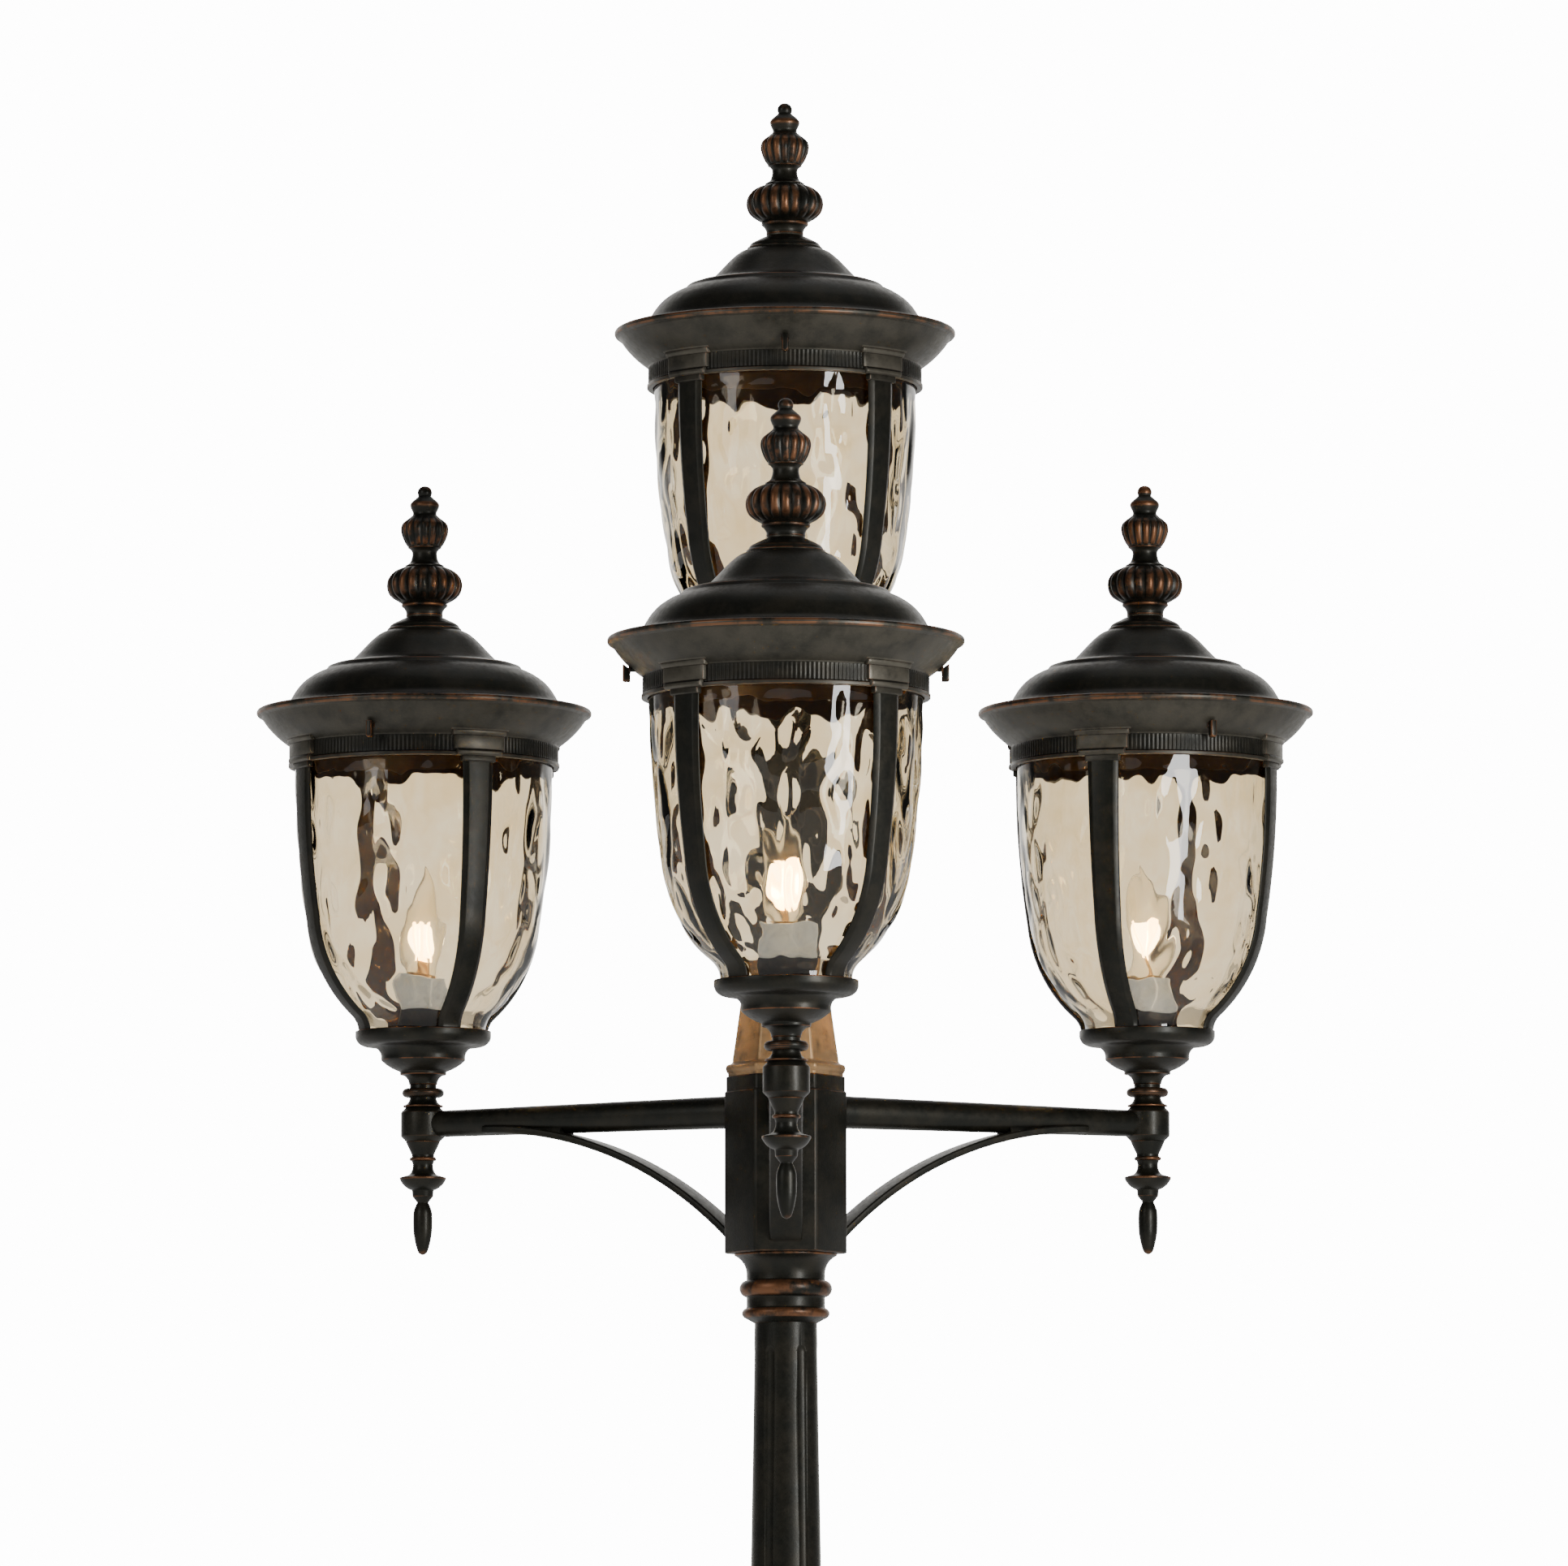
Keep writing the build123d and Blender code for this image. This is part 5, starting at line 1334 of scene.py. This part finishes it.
@dataclass
class Arm:
    """One arm casting with its boss, brace and pendant."""

    shop: Workshop
    finishes: Finishes
    arm_z: float = 1789.5
    reach: float = 314.0
    root: float = 39.4
    root_r: float = 12.0
    tip_r: float = 9.8
    boss_r: float = 16.6
    boss_height: float = 26.0
    brace_r: float = 305.0
    brace_thickness: float = 5.5
    brace_width: float = 24.0
    brace_tip: float = 255.0
    brace_fork: float = 188.0
    rub: tuple[float, ...] = (0.4, 0.5, 0.12, 0.0)

    def bar(self) -> bpy.types.Mesh:
        """Round tapering bar, laid along x."""
        root, root_r, tail = self.root, self.root_r, self.root - 5
        line = Outline(0, tail).line((8, tail), (8, root), (root_r + 1.2, root))
        line.line((root_r + 1.2, root + 1.4))
        line.arc((root_r + 0.2, root + 2.2), (root_r, root + 3.6), 4)
        line.line((self.tip_r, self.reach), (0, self.reach))
        mesh = Shaper.turned("bar", line.softened(0.4), 56)
        mesh.transform(Matrix.Rotation(math.radians(90), 4, "Y"))
        return mesh

    def at_tip(self, name: str, line: Outline) -> bpy.types.Mesh:
        """Turns an outline about the upright line through the arm's tip."""
        mesh = Shaper.turned(name, line, 64)
        mesh.transform(Matrix.Translation((self.reach * MM, 0, 0)))
        return mesh

    def boss(self) -> bpy.types.Mesh:
        """End boss under a lantern."""
        half, wide = self.boss_height / 2, self.boss_r
        line = Outline(0, -half).line((12.6, -half), (wide, -half + 4), (wide, half - 4))
        return self.at_tip("boss", line.line((12.6, half), (0, half)).softened(0.6))

    def brace_level(self, reach: float, rise: float) -> float:
        """Height of the brace's underside, raised by rise, over one reach."""
        slope = (self.root_r - self.tip_r) / (self.reach - self.root)
        apex = 1.2 - self.tip_r - slope * (self.reach - self.brace_tip)
        radius = self.brace_r + rise
        return apex + rise - radius + math.sqrt(radius**2 - (self.brace_tip - reach) ** 2)

    def brace(self) -> bpy.types.Mesh:
        """Thin curved strap under the bar, its foot on the hub."""
        half, cut, steps = self.brace_width / 2, 1.0, 40
        loops = []
        for step in range(steps + 1):
            x = self.root + (self.brace_tip - self.root) * step / steps
            low, high = self.brace_level(x, 0.0), self.brace_level(x, self.brace_thickness)
            right = [(half - cut, low), (half, low + cut), (half, high - cut), (half - cut, high)]
            left = [(cut - half, high), (-half, high - cut), (-half, low + cut)]
            loops.append([(x, side, level) for side, level in [(cut - half, low), *right, *left]])
        return self.shop.bevelled(Shaper.skinned("brace", loops), 0.3, 25.0)

    def web(self) -> bpy.types.Mesh:
        """Solid wedge where the brace runs out into the bar."""
        half, top, steps = self.brace_width / 2 - 0.6, (8.0, -6.0), 14
        loops = []
        for step in range(steps + 1):
            x = self.brace_fork + (self.brace_tip - 1.0 - self.brace_fork) * step / steps
            foot = self.brace_level(x, 1.0)
            right = [(half, foot), (half, foot + 3.0), top]
            left = [(-top[0], top[1]), (-half, foot + 3.0)]
            loops.append([(x, side, level) for side, level in [(-half, foot), *right, *left]])
        return Shaper.skinned("web", loops)

    def pendant(self) -> bpy.types.Mesh:
        """Turned drop under the boss."""
        line = Outline(0, 0).line((12.8, 0), (12.2, -1.5), (8.4, -9.6), (8.4, -11.6))
        line.arc((10.1, -13), (8.4, -14.4), 8).line((7.6, -17.2))
        line.flow((7.9, -20.4), (9.4, -23.6), (11.0, -25), steps=4).line((17.4, -26.8), (17.4, -28))
        line.arc((13.6, -33.4), (8.2, -36.4), 8).line((7.8, -41), (4.2, -45.6))
        line.flow(
            (5.8, -49), (7.1, -54), (7.1, -66), (6.2, -73),
            (4.6, -79.6), (3.0, -83.4), (0, -85), steps=4,
        )
        return self.at_tip("pendant", line.raised(-self.boss_height / 2).softened(0.4))

    def build(self) -> None:
        """Builds one arm and pendant and places a copy at each azimuth."""
        arm, pendant = [self.bar(), self.boss(), self.brace(), self.web()], [self.pendant()]
        for name, azimuth in AZIMUTHS.items():
            at = Seat(0, 0, self.arm_z * MM, azimuth).matrix()
            for kind, meshes, rub in (("arm", arm, self.rub), ("pendant", pendant, ())):
                node, look = f"{name}_{kind}", (self.finishes.bronze, Slot.BRONZE)
                self.shop.piece(f"{node}_dressed", meshes, *look, Body.POST.value, [node], at, rub)


@dataclass(frozen=True)
class Studio:
    """Camera, soft lights, pale floor and white surround."""

    focal_px: float = 12000.0
    frame_px: float = 1932.0
    sensor_mm: float = 36.0
    distance: float = 7.142
    height: float = 1.302
    pitch: float = 5.828
    side: float = -0.0117
    turn: float = 0.086
    roll: float = -0.05
    floor_half: float = 40.0
    lamp_power: float = 0.42
    lamp_colour: Colour = (1.0, 0.74, 0.42)
    lamp_r: float = 0.0178
    dim: Colour = (0.09, 0.086, 0.082)
    bright: Colour = (1.85, 1.82, 1.74)
    backdrop: Colour = (14.0, 14.0, 14.0)

    def camera(self) -> None:
        """Places the camera where the photograph was taken from."""
        data = bpy.data.cameras.new("camera")
        data.sensor_fit = "HORIZONTAL"
        data.sensor_width = self.sensor_mm
        data.lens = self.sensor_mm * self.focal_px / self.frame_px
        data.clip_end = 200.0
        made = linked("camera", data)
        look = Matrix.Rotation(math.radians(-self.turn), 4, "Z")
        look = look @ Matrix.Rotation(math.radians(90 + self.pitch), 4, "X")
        look = look @ Matrix.Rotation(math.radians(self.roll), 4, "Z")
        made.location = (self.side, -self.distance, self.height)
        made.rotation_euler = look.to_euler()
        bpy.context.scene.camera = made

    @staticmethod
    def softbox(
        name: str, place: Sequence[float], aim: Sequence[float], size: Point, power: float
    ) -> None:
        """Adds a rectangular soft light.

        Args:
            name: the light's name.
            place: where it stands, in metres.
            aim: the point that it faces.
            size: its width and height, in metres.
            power: its power, in watts.
        """
        data = bpy.data.lights.new(name, "AREA")
        data.shape = "RECTANGLE"
        data.size, data.size_y = size
        data.energy = power
        made = linked(name, data)
        made.location = place
        made.rotation_euler = (Vector(aim) - Vector(place)).to_track_quat("-Z", "Y").to_euler()

    def lamp(self, name: str, place: Sequence[float]) -> None:
        """Adds the warm light of one lit bulb, as wide as its belly."""
        data = bpy.data.lights.new(name, "POINT")
        data.energy = self.lamp_power
        data.color = self.lamp_colour
        data.shadow_soft_size = self.lamp_r
        linked(name, data).location = place

    def floor(self) -> None:
        """Adds the plain pale floor."""
        far = self.floor_half
        mesh = bpy.data.meshes.new("floor")
        corners = [(-far, -far, 0), (far, -far, 0), (far, far, 0), (-far, far, 0)]
        mesh.from_pydata(corners, [], [(0, 1, 2, 3)])
        lit = {"glow": 0.5, "glow_colour": (1.0, 1.0, 1.0)}
        pale = PlainFinish("pale floor", (0.86, 0.86, 0.85), 0.6, **lit)
        mesh.materials.append(pale.material())
        linked("floor", mesh)

    def surround(self) -> None:
        """White behind the lamp post, dim all round it."""
        world = bpy.data.worlds.new("surround")
        world.use_nodes = True
        world.node_tree.nodes.clear()
        work = Layout(world.node_tree)
        where = work.add("ShaderNodeTexCoord").outputs["Generated"]
        parts = work.add("ShaderNodeSeparateXYZ", {0: where})
        colour = work.mix(work.ramp(parts.outputs["Y"], 0.62, 0.92), self.dim, self.bright)
        path = work.add("ShaderNodeLightPath").outputs["Is Camera Ray"]
        seen = work.mix(path, colour, self.backdrop)
        shade = work.add("ShaderNodeBackground", {"Color": seen, "Strength": 1.0})
        work.add("ShaderNodeOutputWorld", {"Surface": shade.outputs[0]})
        bpy.context.scene.world = world

    def build(self) -> None:
        """Sets the whole studio, but for the lit bulbs."""
        self.camera()
        self.floor()
        self.surround()
        middle = (0.0, 0.0, 2.0)
        self.softbox("strip_right", (1.20, -1.42, 2.02), (0.0, -0.1, 2.0), (0.36, 0.95), 26.0)
        self.softbox("broad_left", (-2.6, -2.2, 3.0), middle, (1.2, 1.8), 20.0)
        self.softbox("overhead", (0.3, 0.6, 4.6), middle, (2.2, 2.2), 9.0)


def lantern_seats(standard: Standard, arm: Arm) -> dict[str, Seat]:
    """Where each lantern stands: one on the riser, one on each arm's boss.

    Args:
        standard: the post with its hub and riser.
        arm: the arm, the same at each azimuth.

    Returns:
        Lantern name to its place.
    """
    foot, reach = (arm.arm_z + arm.boss_height / 2) * MM, arm.reach * MM
    seats = {"top": Seat(0, 0, (standard.hub_top + standard.riser_height) * MM, YAWS["top"])}
    for name, azimuth in AZIMUTHS.items():
        angle = math.radians(azimuth)
        seats[name] = Seat(reach * math.cos(angle), reach * math.sin(angle), foot, YAWS[name])
    return seats


def main() -> None:
    """Builds the studio and every dressed piece in order."""
    logging.basicConfig(level=logging.INFO, format="%(name)s %(message)s")
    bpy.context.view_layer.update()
    studio = Studio()
    studio.build()
    shop, finishes = Workshop(), Finishes()
    standard, arm, lantern = (kind(shop, finishes) for kind in (Standard, Arm, Lantern))
    standard.build()
    arm.build()
    seats = lantern_seats(standard, arm)
    lantern.build(seats)
    glow = (lantern.glass_foot + lantern.bulb_rise + lantern.lamp_rise) * MM
    for name, seat in seats.items():
        studio.lamp(f"{name}_lamp", (seat.x, seat.y, seat.z + glow))


if __name__ == "__main__":
    main()
